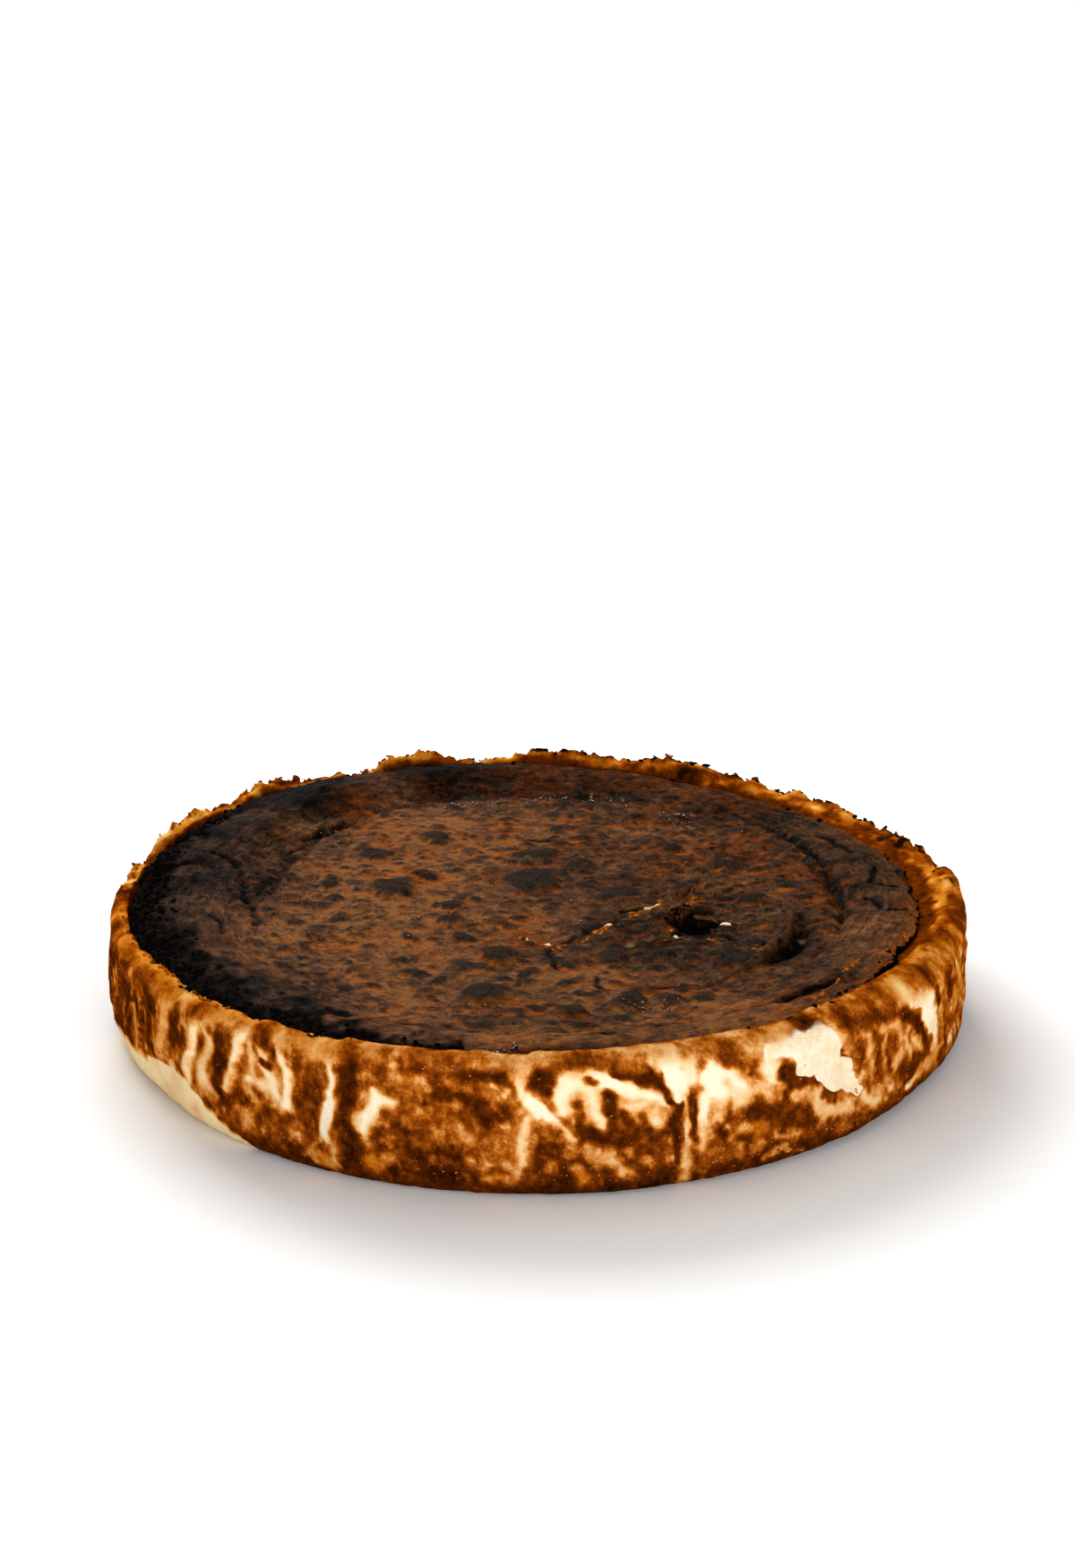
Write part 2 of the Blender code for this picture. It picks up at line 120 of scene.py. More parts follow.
HIDDEN_FOLDS = 17
HIDDEN_FOLDS_FROM, HIDDEN_FOLDS_TO = 92.0, 268.0
HIDDEN_MARKS = 120
HIDDEN_TONES = (0.06, 0.14, 0.22, 0.28, 0.36, 0.42, 0.8, 0.86)

# The pale bevel along the base on the left, where the crust didn't brown: bearing and upper height
BEVEL_LINE = (
    (-88, 0), (-80, 5), (-75, 9), (-70, 12), (-65, 10), (-61, 12.5), (-57, 14.4), (-51, 14), (-47.5, 10.5),
    (-44, 6.5), (-41, 3.4), (-38, 0),
)

BEVEL_SOFT = 1.4 * MM

# The least softness of a mark's edge that the side's points can carry, in millimetres
SHARPEST = 1.3

# Marks of the browning on the side, laid one over another: from bearing and height to bearing and
# height, half width, tone from 0 (cream) to 1 (dark) and softness of the edge; sizes in millimetres
MARKS = (
    (-23.2, 37.5, -23.4, 6, 2.4, 0.9, 3.3), (-14.5, 36.4, -4.5, 35.2, 1.7, 0.88, 3),
    (-17, 24, -7, 17, 4.5, 0.55, 7), (-8, 31, -6.5, 22, 2.4, 0.8, 4.3), (-29.5, 35, -28, 9, 3, 0.7, 4.3),
    (-75, 33, -66, 26, 2.6, 0.84, 4.3), (-52.8, 35, -53.6, 24, 2.2, 0.88, 2.6),
    (-61, 33, -58.5, 30, 2.2, 0.88, 3), (-43.6, 33.5, -43.2, 20, 1.8, 0.84, 2.3),
    (-65.6, 24, -63.9, 11, 1.3, 0.3, 2.5), (-61.6, 27, -61.2, 19, 0.7, 0.44, 1.9),
    (-58.6, 26, -57.9, 18, 1, 0.36, 2.6), (-56.9, 16, -55.4, 28, 1, 0.28, 2.5),
    (-55.4, 28, -54.3, 37.5, 1.3, 0.3, 3), (-53.2, 18.5, -51.3, 21.5, 2, 0.42, 4),
    (-50.2, 14, -49, 24, 1.7, 0.18, 2.8), (-49, 24, -47.2, 37, 1.3, 0.14, 2.3),
    (-46.6, 34.5, -45, 30, 1.2, 0.2, 2.5), (-45, 30, -46.6, 21.5, 1.5, 0.22, 2.8),
    (-46.3, 18, -46, 15, 2.6, 0.2, 4.3), (-48.5, 13, -45, 12, 1.6, 0.4, 4),
    (-46, 37, -38.6, 38.2, 1.7, 0.1, 3.6), (-41.6, 18, -40.3, 28, 1, 0.2, 2.2),
    (-40.3, 28, -39.4, 37.5, 1.5, 0.1, 2.2), (-38.2, 33.5, -37.8, 27, 0.9, 0.22, 2.1),
    (-36.2, 32.4, -35.2, 31.4, 1.4, 0.22, 1.8), (-38, 23.4, -34, 22.4, 1.5, 0.16, 2.6),
    (-38.4, 21, -37.2, 17.5, 1.2, 0.3, 2.6), (-33.4, 36.5, -32, 28, 1.5, 0.14, 2.4),
    (-34.6, 25, -33.4, 18, 2.6, 0.26, 4.5), (-32, 28, -32.2, 17.6, 1.6, 0.08, 3.2),
    (-35.4, 27.4, -33.4, 19.6, 1.6, 0.14, 2.8), (-37.6, 27.2, -36.8, 22.4, 0.9, 0.26, 2.2),
    (-35.6, 29.6, -34.7, 28.6, 1.2, 0.84, 0.9), (-34.4, 35, -33.9, 31, 0.9, 0.72, 1.8),
    (-36.6, 19.6, -35.2, 18, 1.1, 0.62, 2), (-39.2, 11.6, -38.6, 10, 1.7, 0.34, 3.3),
    (-35.6, 12, -34.4, 11, 1.2, 0.5, 3.3), (-29.6, 33, -29.8, 25, 0.7, 0.5, 2.3),
    (-25.6, 38.5, -25.3, 22, 1, 0.04, 0.5), (-25.4, 22, -26.4, 13, 1.6, 0.05, 1.8),
    (-27.2, 12, -29.6, 4.6, 0.8, 0.36, 1.6), (-26, 12, -25.1, 4, 0.8, 0.32, 0.7),
    (-27.5, 5.6, -26.4, 5.2, 2.3, 0.34, 3.3), (-22.2, 20, -21.6, 13.5, 2.4, 0.42, 4.3),
    (-20.1, 28.2, -19.4, 25.4, 1.2, 0.06, 2.4), (-19.4, 25.6, -17.4, 25.2, 1, 0.12, 2.4),
    (-19.8, 25, -21.8, 16.2, 1.6, 0.06, 2.8), (-17.4, 33.6, -15.6, 31, 1.2, 0.36, 2.6),
    (-14.9, 30.4, -13.6, 33.4, 1, 0.36, 2.4), (-16.2, 30.4, -14.2, 29.6, 1, 0.42, 2.6),
    (-10.6, 33, -8.2, 31.6, 1.3, 0.4, 3), (-14.4, 24.4, -13.4, 23.8, 1.2, 0.42, 2.8),
    (-12.6, 19.4, -12.4, 18.4, 1.4, 0.34, 2.3), (-9.1, 17.8, -8.5, 17.2, 1.7, 0.32, 2.6),
    (-11.6, 26.8, -11, 26.2, 1, 0.46, 2.5), (-7.6, 21, -7.2, 20.4, 1, 0.46, 2.3),
    (-15.8, 20.8, -15.2, 20, 1.2, 0.44, 2.6), (-21.2, 7, -19.6, 6.2, 1.8, 0.38, 3.3),
    (-18.8, 8.6, -17.6, 8, 1.6, 0.42, 3.3), (-8.6, 10.4, -7.4, 8.6, 1.4, 0.44, 2.6),
    (-6, 5.6, -3.6, 5.4, 1.3, 0.38, 3), (-5.6, 27, -5.2, 26, 0.9, 0.48, 2.1),
    (-2.5, 39, -1.9, 30, 1.3, 0.14, 1.8), (-1.6, 28.6, -0.6, 24, 1.5, 0.05, 1.6),
    (-0.6, 26.6, 1.8, 22.6, 1.8, 0.03, 1.4), (4.4, 8, 5, 5.4, 1.5, 0.38, 3),
    (6, 19.6, 9.6, 14.6, 1.5, 0.82, 3.3), (-2.8, 6.6, -2.4, 10, 0.9, 0.26, 1.5),
    (-2.4, 10, -1.5, 22, 0.9, 0.2, 1.4), (1.6, 22.2, 6.2, 13.6, 0.9, 0.24, 1.4),
    (6.2, 13.6, 10, 7.2, 0.9, 0.34, 1.6), (0.7, 35.2, 1, 30.8, 1.5, 0.88, 1.8),
    (4.6, 28, 12.6, 25.4, 5, 0.32, 6), (2.6, 32.6, 2.9, 25.6, 1.9, 0.12, 2.6),
    (3.4, 33.8, 6.4, 34.6, 2, 0.08, 2.4), (6.4, 34.2, 10.6, 30.8, 2.2, 0.05, 2.2),
    (10.6, 30.4, 14.4, 26.6, 1.9, 0.08, 2.2), (14, 25.6, 13.6, 21.2, 1.2, 0.24, 2.6),
    (12.6, 25.4, 10.2, 25.6, 1.3, 0.2, 2.6), (5.8, 32, 7.3, 21, 1.5, 0.16, 2.6),
    (3.6, 28, 4.2, 22.6, 0.8, 0.26, 2.2), (5.9, 33.4, 6.5, 32.4, 0.7, 0.66, 0.5),
    (4.4, 27.6, 5.2, 16, 1.2, 0.74, 2.2), (8.2, 29, 9, 17, 1.5, 0.78, 2.4),
    (10.2, 23.4, 11.4, 16, 1.5, 0.78, 2.6), (12.2, 22.6, 12.8, 15, 1, 0.74, 2.2),
    (8.8, 36.2, 12, 34.8, 2, 0.88, 1.8), (11.4, 35, 14.6, 31.4, 2.3, 0.88, 0.7),
    (14.6, 31.4, 15.2, 26.6, 1.1, 0.88, 0.6), (15.2, 38, 16.2, 33, 3.6, 0, 1.8),
    (16.2, 33, 16.8, 27, 1.9, 0, 0.6), (18.3, 37, 18.3, 32, 1.9, 0.1, 3), (17.2, 28, 17.5, 13, 0.9, 0.22, 0.6),
    (17.5, 13, 17.5, 3.6, 1.2, 0.3, 1.6), (16.1, 25, 16.3, 8, 0.8, 0.86, 0.6),
    (18.5, 24, 18.4, 15.5, 0.6, 0.88, 0.4), (22.4, 29, 25.6, 24, 4.4, 0.3, 6),
    (20.8, 31.6, 21.4, 26, 3.3, 0.03, 4), (23.2, 30.4, 24.6, 27, 2.2, 0.08, 3.6),
    (24, 25, 24.4, 22.6, 1.6, 0.18, 3.2), (19.8, 25, 20, 18, 1.5, 0.06, 2.4),
    (20, 18, 20.2, 11.5, 1, 0.22, 2.3), (22.2, 22, 21.8, 19, 1.4, 0.26, 3),
    (25.6, 18.8, 26.2, 18, 1.1, 0.36, 2.2), (23.2, 16, 23.8, 15.2, 1, 0.38, 2.2),
    (27.2, 22.8, 27.6, 21.8, 1.1, 0.34, 2.4), (22.8, 36.5, 26.8, 33.4, 2.4, 0.8, 3),
    (28.4, 33.4, 29.6, 27, 2.3, 0.12, 3.3), (27.4, 24.6, 28.8, 20.6, 2, 0.3, 4),
    (30.8, 27.6, 33.2, 23, 2.4, 0.84, 2.5), (27, 18, 33.5, 13, 3.6, 0.74, 5.3),
    (24.8, 13.8, 28.2, 13.2, 1.2, 0.36, 2.3), (28.2, 13, 27.2, 10.6, 1, 0.4, 2.3),
    (24.6, 8.4, 25, 7.4, 1.4, 0.46, 3), (30, 9.4, 33, 8.6, 1.2, 0.42, 3), (28.6, 4.2, 31.4, 5, 1.2, 0.36, 1.6),
    (31.4, 5, 34.2, 2.6, 0.9, 0.4, 1.6), (33, 20, 36, 18.4, 2.2, 0.32, 3.6),
    (36.4, 17.4, 37, 12, 2.2, 0.26, 3.3), (37, 12, 41.4, 11, 2, 0.26, 3), (44.4, 12.6, 47, 8.6, 1.4, 0.2, 1.9),
    (37.4, 18, 38.6, 14.2, 1.6, 0.68, 1.6), (41.6, 36.2, 49, 35.4, 2.2, 0.82, 3.3),
    (43.2, 33, 43.5, 25, 0.9, 0.62, 2.3), (44.8, 31.5, 45.4, 25, 1, 0.24, 2.2),
    (45.6, 23, 46, 17.5, 0.8, 0.3, 2.2), (47.8, 29.8, 50.4, 29, 1.1, 0.26, 2.2),
    (51, 27.6, 52, 22.6, 1.1, 0.28, 2.4), (47.2, 27, 47, 18, 1.1, 0.74, 2.3),
    (49.4, 25.6, 49.8, 17, 1.2, 0.72, 2.3), (48.3, 26, 48.6, 19, 0.6, 0.34, 1.6),
    (50.8, 16.8, 52.4, 19.6, 1.2, 0.28, 2.4), (53.2, 22.6, 54.6, 17, 1, 0.22, 2.2),
    (55.4, 19.6, 56.8, 16.4, 1.1, 0.24, 2.2), (46.4, 14, 47.2, 10.6, 0.8, 0.34, 2),
    (49.6, 13.4, 50.4, 11.4, 0.8, 0.4, 2), (48, 35.6, 52.4, 32, 2.2, 0.86, 2.6),
    (52.4, 32, 56.6, 25, 2.4, 0.9, 1.9), (56.6, 25, 58.2, 19, 1.6, 0.9, 0.7),
    (56, 14.6, 59.6, 12.4, 1.8, 0.74, 2.3), (54.4, 7.6, 58, 8.4, 1.2, 0.08, 0.7), (58, 8.6, 63, 9, 1.8, 0.3, 3),
    (27, 37.2, 34, 36, 4.2, 0.16, 6), (34, 36, 38.5, 33, 5, 0.14, 5), (52.4, 37.4, 56.8, 36.4, 3.6, 0.03, 2.3),
    (55.6, 34, 58.4, 30.6, 4.2, 0.03, 1.8), (59, 28, 60.2, 22, 2.7, 0.06, 1.8),
    (60.4, 22, 61.4, 14, 2.2, 0.14, 1.9), (61.4, 14, 62.6, 9.6, 2.4, 0.24, 2.6),
    (63.6, 26, 64.5, 12, 1, 0.34, 2.3), (61.7, 38, 62.7, 26, 1.4, 0.9, 1.9),
    (65.4, 38, 67.5, 26, 2.4, 0.82, 3.3), (66.5, 43, 71.5, 31, 0.9, 0.18, 1.6), (71.5, 31, 80, 14, 1, 0.3, 2.3),
    (69, 25, 69.8, 18, 1.7, 0.36, 3.3),
)

# The toasted edge round the pale marks: extra half width, tone and softness
HALO_WIDTH, HALO_TONE, HALO_SOFT = 1.5, 0.44, 3.4
PALEST_WITHOUT_HALO, SHARPEST_WITH_HALO = 0.36, 0.75

# Keeps the length of a mark that is one point above nothing
TINY = 1e-12

# Bare cream where the brown skin of the side came away with the paper, laid out as the marks are
BARE_MARKS = (
    (28.6, 34.6, 33.6, 35, 1.8, 0.9, 3.4), (33, 35.6, 36.8, 35.4, 2.6, 1, 5),
    (34, 32.6, 38.2, 31.8, 3.6, 1, 2.2), (34.8, 28.8, 38.8, 27.4, 4, 1, 1.3),
    (36.8, 24.2, 40.2, 22.8, 3.8, 1, 1.3), (38.6, 20.6, 41.3, 17.8, 2.8, 1, 1.3),
    (41.2, 17, 43, 14, 1.5, 1, 1.3),
)

BARE_DEPTH = 0.18 * MM

# Amber places near the base: bearing, height, radius in millimetres
AMBER_SPOTS = (
    (-27, 5.2, 4), (-20.5, 6.2, 4.6), (-5, 5.6, 3.4), (4.9, 6, 3.6), (27, 12.8, 4), (57, 9, 6), (63, 10, 6),
    (-59, 21, 5), (-3.4, 12, 3),
)

# Blisters of the skin: place across and deep, radius and height in millimetres
BLISTER_SWELL = 1.3
BLISTERS = (
    (-45, 13, 8.5, 1.6), (-2, 19, 10.5, 1.4), (-52, 43, 6.5, 1.3), (-32, 58, 5, 1.2), (0, 43, 6.5, 1.3),
    (14, 33, 5.5, 1.2), (32, 74, 4.5, 1.6), (42, 46, 3.5, 1.3), (25, 7, 8, 1.1), (-37, 25, 4.2, 1.3),
    (-27, 0, 3.8, 1.2), (-28, -15, 5.5, 1.4), (-23, -28, 3.8, 1.2), (-12, -43, 6.8, 1.9), (-37, -58, 3.8, 1.1),
    (-15, -74, 8.5, 1.8), (8, -87, 4.5, 1.3), (22, -45, 6.2, 1.5), (35, -44, 4.2, 1.2), (25, -82, 6.4, 2),
    (38, -80, 4, 1.3), (57, -48, 5, 1.2), (60, 30, 4, 1.1), (66, 2, 4, 1.1),
)

# Middling blisters, which only the skin shows: place across and deep, and radius
MID_BLISTERS = (
    (-65.3, 16, 3), (-31.3, 57.7, 3.4), (-26.2, 28.5, 3), (-35.4, 23.8, 3.6), (-4, 43.1, 5), (-27.1, -1.1, 3.6),
    (-20.7, -29.5, 2.8), (-3.9, -58.1, 3.4), (-1.5, -34.8, 3), (-22.6, -51.6, 3), (-34.7, -59.6, 3.6),
    (-26.9, -64.6, 2.8), (-40.7, -47.1, 2.8), (-61.6, -15.6, 2.4), (-51.5, -22.4, 2.6), (13, 32.7, 4),
    (35.2, 52.5, 3.2), (27.6, 94.4, 4), (48.2, 60.5, 3.4), (59.6, 38.1, 3), (77.1, 53, 3), (61.6, 5, 2.6),
    (47.4, 17.1, 3.2), (33.4, -55.6, 3.2), (42.7, -47.5, 2.8), (7, -52.1, 3.2), (12.8, -75.2, 3.2),
    (6.1, -66.3, 3), (80.9, -0.8, 3), (-18.9, 4.9, 2.4), (2.9, 2.2, 3), (-9.7, -62.3, 2.6), (16.2, -20.7, 3.2),
    (47.7, -33.1, 3.4), (-13.6, -92.5, 3), (-2.6, -83.9, 3.4), (24.5, -95, 3.2), (-30.1, -78.3, 2.6),
    (-45.8, -66.3, 2.4), (-54.5, -49.3, 2.2), (-68.2, -38.6, 2.2), (-38.4, -28.4, 2.4), (-10.6, -18, 2.6),
    (40.1, 3.8, 2.4), (-11.5, 75.9, 2.6), (6.2, 66.6, 2.8), (18.3, 84.4, 2.6), (65.2, 69.9, 2.6),
    (70.8, 27.1, 2.6), (75.1, 11, 2.4), (40.5, -69.7, 3.4), (46.5, -79.1, 3.2), (59.2, -50.8, 2.6),
)
MID_BLISTER_HEIGHT = 0.9

# Small blisters in three sizes: distance between them, seed, height and most radius as a share of the
# distance; those with a lower number than the last value are left out
SMALL_BLISTERS = ((8.2, 51, 0.9, 0.40), (5.6, 52, 0.7, 0.40), (3.8, 53, 0.4, 0.36))
FEWER_BLISTERS = 0.48
DOME_POWER = 0.6

# Cracks of the skin: three points of a bow, width and depth in millimetres
CRACKS = (
    ((-84, -6), (-83, 44), (-55, 80), 1.7, 1.8), ((80, 46), (97, 4), (88, -36), 1.4, 1.4),
    ((-52, -92), (2, -116), (48, -100), 2.4, 1.3), ((20, -104), (66, -100), (100, -58), 2.2, 1.2),
    ((-50, 92), (0, 106), (44, 90), 3.5, 1.2),
)

# Finer cracks that only the skin shows, laid out in the same way
FINE_CRACKS = (
    ((47, -7), (33, 2), (24, -12), 0.9, 0.9), ((25, -12), (18, -24), (5, -35), 0.9, 0.9),
    ((5, -35), (1, -44), (6, -56), 0.9, 0.8), ((55, -27), (62, -38), (70, -42), 0.8, 0.9),
    ((86, 30), (95, 10), (92, -14), 0.9, 1), ((78, 58), (88, 42), (91, 24), 1, 1.1),
    ((-90, 12), (-92, 4), (-88, -6), 0.9, 0.9), ((-6, 57), (0, 61), (6, 54), 0.9, 0.8),
    ((104, 22), (106, 14), (101, 6), 0.8, 0.9), ((101, 6), (108, 2), (112, 4), 0.7, 0.8),
    ((98, -4), (104, -8), (103, -16), 0.8, 0.9), ((103, -16), (109, -18), (112, -14), 0.7, 0.8),
    ((90, 52), (98, 44), (100, 34), 0.8, 0.9), ((-100, -18), (-92, -24), (-94, -34), 0.7, 0.8),
    ((-78, 50), (-74, 58), (-66, 62), 0.8, 0.9), ((-104, 30), (-96, 28), (-94, 20), 0.7, 0.8),
    ((18, -60), (14, -66), (20, -72), 0.8, 0.7), ((30, -72), (40, -66), (48, -68), 0.7, 0.6),
    ((-4, -112), (10, -114), (26, -110), 0.8, 1), ((60, -92), (76, -82), (86, -70), 0.9, 1),
)

# The torn hole with the burnt ground round it, and the low swell of the thick wrinkle with its crease
HOLE_CENTRE = (46.0 * MM, -17.0 * MM)
HOLE_HALF_WIDTH, HOLE_HALF_LENGTH = 8.0 * MM, 9.5 * MM
HOLE_DEPTH = 4.2 * MM
HOLE_LIP = 1.6 * MM
SCORCH_CENTRE = (46.0 * MM, -20.0 * MM)
SCORCH_HALF_WIDTH, SCORCH_HALF_LENGTH = 9.5 * MM, 9.0 * MM
WRINKLE = ((74.0, -4.0), (79.0, -42.0), (48.0, -66.0))
WRINKLE_WIDTH, WRINKLE_HEIGHT = 3.4 * MM, 3.6 * MM
WRINKLE_CREASE_DEPTH = 3.2 * MM
BOW_STEPS = 24

# The crest of the thick wrinkle: place across and deep, half width and height, in millimetres
ROPE = (
    (74.4, -7, 0.9, 0.4), (75.2, -11, 1.6, 1), (75.4, -17, 1.5, 1.6), (75, -24, 1.2, 2.1), (74, -31, 1.2, 2.4),
    (71.6, -38, 1.25, 2.5), (67.8, -45.5, 1.3, 2.4), (63.2, -52.5, 1.3, 1.9), (57.8, -58.5, 1.2, 1.4),
    (52.4, -64, 1.1, 1.1), (47.6, -68.5, 0.9, 0.8), (43.6, -71.5, 0.6, 0.3),
)

ROPE_ROWS, ROPE_POINTS, ROPE_EVENING = 120, 16, 6

# Torn bits of skin that stand up: place across and deep, direction in degrees from +X, length, width,
# and the height that the tip is lifted, in millimetres
FLAPS = (
    (32, -13.5, 36, 19, 8.5, 4.6), (30, -30.5, 352, 9, 4.5, 1.3), (55, -13, 205, 9, 6, 1.2),
    (45, -7, 250, 6, 5, 1.4),
)

FLAP_THICKNESS = 0.55 * MM

# Cream that shows through tears of the skin: from and to across and deep, half width
PALE_TEARS = (
    (33, -4.4, 34.6, -4, 1.1), (35.6, -3.2, 36.6, -2, 0.9), (54.8, -19.6, 56.8, -20.2, 1.1),
    (38, -28.8, 38.3, -29.6, 0.6), (40.2, -28, 41, -29, 0.7), (20.6, -20, 21, -19.2, 0.8),
    (2.4, -33.8, 3, -34.2, 0.6), (-3.3, -28, -3.4, -29.2, 0.4),
)

# Orange custard laid bare along the tears: three points of a bow, width in millimetres
RAW_TEARS = (
    ((17, -24.5), (27, -14), (37.5, 0), 1.6), ((42.5, -11.5), (47, -5), (49.5, 2), 2.4),
    ((31, -29.5), (34, -35), (39.5, -29.5), 1), ((39, -23), (41, -28), (44, -31), 1.4),
    ((50.5, -29), (54, -37.5), (66, -44.5), 0.9), ((-8, -24), (-3, -33), (6, -37), 1.1),
    ((6, -38), (12, -34), (16, -29), 0.8), ((54, -17.5), (58, -18.5), (62, -18.5), 0.8),
    ((5, -58), (14, -62), (26, -73), 0.7), ((92.2, -58), (84.5, -72.5), (75.8, -87), 0.9),
)

# Small pale dots on the skin: place across and deep, radius
TAN_DOTS = ((3.5, -22.0, 1.6), (27.0, -36.0, 1.3), (78.0, -30.0, 1.1), (-46.0, 62.0, 0.8))

# How brown the skin is: place across and deep, half width and half depth, warmth from 0 to 1
# The lighter brown along the front of the shoulder is partly the skin's own brown, partly a painted sheen
SKIN_TONES = (
    (-40, -5, 62, 85, 0.95), (-10, 55, 60, 36, 0.9), (55, 40, 42, 48, 0.62), (48, -30, 40, 45, 0.52),
    (5, -75, 70, 26, 0.85), (100, -40, 18, 48, 0.72), (40, -106, 62, 14, 0.58), (-100, 30, 20, 50, 0.42),
    (0, 112, 60, 12, 0.36), (-84, 84, 20, 20, -0.05), (-38, 112, 14, 12, 0.05), (-92, 20, 14, 40, 0.42),
    (10, 26, 26, 24, 0.55), (0, -110, 60, 12, 0.98), (-60, -88, 30, 14, 0.96), (58, -96, 36, 14, 0.92),
    (100, 10, 12, 34, 0.4), (70, 80, 24, 22, 0.28), (-70, -80, 22, 18, 0.35),
)

# How orange the skin is, laid out in the same way
SKIN_RUST = (
    # The greyer, less orange brown along the front of the shoulder is partly the skin's own colour, partly a
    # painted sheen
    (0, 108, 70, 13, 1), (60, 88, 30, 18, 0.9), (-62, 84, 16, 12, 0.7), (60, 40, 26, 20, 0.85),
    (90, 6, 9, 26, 0.9), (-20, -84, 26, 8, 0.7), (36, -72, 24, 8, 0.7), (-10, -30, 14, 10, 0.7),
    (-36, 20, 14, 10, 0.6), (-100, 40, 12, 40, 0), (100, -30, 14, 40, 0.1), (0, -110, 60, 8, 0.05),
    (48, -42, 22, 16, 0),
)


# Where beads of caramel lie: from and to across, place deep, spread, how many, and 1 where they bend
CARAMEL_POOLS = (
    (-36, 30, 95, 2, 90, 1), (40, 52, 76, 3.5, 36, 0), (-32, -4, -121.2, 0.8, 60, 0), (-78, -60, 60, 2, 14, 0),
    (22, 44, -86, 1.8, 26, 0), (-26, -6, -83.5, 1.4, 22, 0), (-50, 70, 0, 60, 50, 0),
)

# Pale flakes on the side: bearing and height, then length, thickness and tallness
PALE_FLAKES = (
    (-21, 39.2, 2.4, 0.5, 0.7), (-29, 39.8, 1.2, 0.5, 0.6), (43.2, 14.2, 0.8, 0.6, 2.8),
    (42.4, 13, 1.4, 0.5, 0.8), (29.5, 4.2, 2.8, 0.5, 0.6), (32, 3.8, 2.4, 0.5, 0.6),
    (34, 2.7, 1.6, 0.5, 0.5), (55, 8, 3.4, 0.8, 1), (57, 9, 3, 0.8, 1),
)
HIGHEST_SPECK, HIGHEST_ON_SIDE = 37.5 * MM, 38.5 * MM

# The table, and how far from the cake's middle its glow begins and is full, in metres
TABLE_HALF = 12.0
GLOW_FROM, GLOW_TO = 0.105, 0.33


def ease(share):
    """0 below 0 and 1 above 1, with a soft turn at both ends."""
    share = np.clip(share, 0.0, 1.0)
    return share * share * (3.0 - 2.0 * share)


def mix(low, high, share):
    return low + (high - low) * share


def turned(bearing):
    """The bearing brought between -180 and 180 degrees."""
    return (np.asarray(bearing) + 180.0) % 360.0 - 180.0


def curve_round(values, bearing):
    """A smooth closed curve through values spaced evenly round the cake."""
    count = len(values)
    place = (np.asarray(bearing, float) % 360.0) * count / 360.0
    first = np.floor(place).astype(int)
    share = place - first
    table = np.array(values, float)
    before, low, high, after = (table[(first + step) % count] for step in (-1, 0, 1, 2))
    bend = 2.0 * before - 5.0 * low + 4.0 * high - after
    curl = -before + 3.0 * low - 3.0 * high + after
    return low + 0.5 * share * (high - before + share * (bend + share * curl))


def around(values, bearing):
    """The same for values in millimetres."""
    return curve_round(values, bearing) * MM


def lumps(points, size, seed):
    """Smooth noise from -1 to 1 whose lumps are about size across, read at x, y, z points."""
    cells = 32
    table = np.random.default_rng(seed).uniform(-1.0, 1.0, (cells, cells, cells))
    place = [np.asarray(axis, float) / size for axis in points]
    corner = [np.floor(axis).astype(int) for axis in place]
    share = [ease(axis - low) for axis, low in zip(place, corner)]
    total = 0.0
    for step in range(8):
        offsets = (step & 1, step >> 1 & 1, step >> 2 & 1)
        index = tuple((low + move) % cells for low, move in zip(corner, offsets))
        weight = 1.0
        for part, move in zip(share, offsets):
            weight = weight * (part if move else 1.0 - part)
        total = total + weight * table[index]
    return total


def layers(points, *rows):
    """Noise of several sizes added up: share, size in millimetres and seed of each."""
    return sum(share * lumps(points, size * MM, seed) for share, size, seed in rows)


def flat_lumps(x, y, size, seed):
    return lumps((x, y, 0 * x), size * MM, seed)


def spots(x, y, size, seed):
    """Distance to the nearest of scattered points, in sizes, and that point's own number from 0 to 1."""
    cells = 64
    draw = np.random.default_rng(seed)
    shift_x, shift_y, chance = (draw.uniform(0.1, 0.9, (cells, cells)) for _ in range(3))
    place_x, place_y = x / (size * MM), y / (size * MM)
    cell_x, cell_y = np.floor(place_x).astype(int), np.floor(place_y).astype(int)
    best = np.full(np.shape(x), np.inf)
    number = np.zeros(np.shape(x))
    for step_x in (-1, 0, 1):
        for step_y in (-1, 0, 1):
            index = ((cell_x + step_x) % cells, (cell_y + step_y) % cells)
            gap_x = cell_x + step_x + shift_x[index] - place_x
            gap_y = cell_y + step_y + shift_y[index] - place_y
            gap = np.hypot(gap_x, gap_y)
            number = np.where(gap < best, chance[index], number)
            best = np.minimum(gap, best)
    return best, number


def bow(points, x, y):
    """Signed distance from a bow through three points, plus on its left, and the share along it."""
    start, middle, end = (np.array(point) * MM for point in points)
    share = np.linspace(0.0, 1.0, BOW_STEPS + 1)[:, None]
    line = (1 - share) ** 2 * start + 2 * share * (1 - share) * middle + share**2 * end
    best = np.full(np.shape(x), np.inf)
    side = np.zeros(np.shape(x))
    along = np.zeros(np.shape(x))
    for step in range(BOW_STEPS):
        run = line[step + 1] - line[step]
        from_x, from_y = x - line[step][0], y - line[step][1]
        reach = np.clip((from_x * run[0] + from_y * run[1]) / (run @ run), 0.0, 1.0)
        gap = np.hypot(from_x - reach * run[0], from_y - reach * run[1])
        nearer = gap < best
        best = np.where(nearer, gap, best)
        side = np.where(nearer, np.sign(run[0] * from_y - run[1] * from_x), side)
        along = np.where(nearer, (step + reach) / BOW_STEPS, along)
    return best * side, along


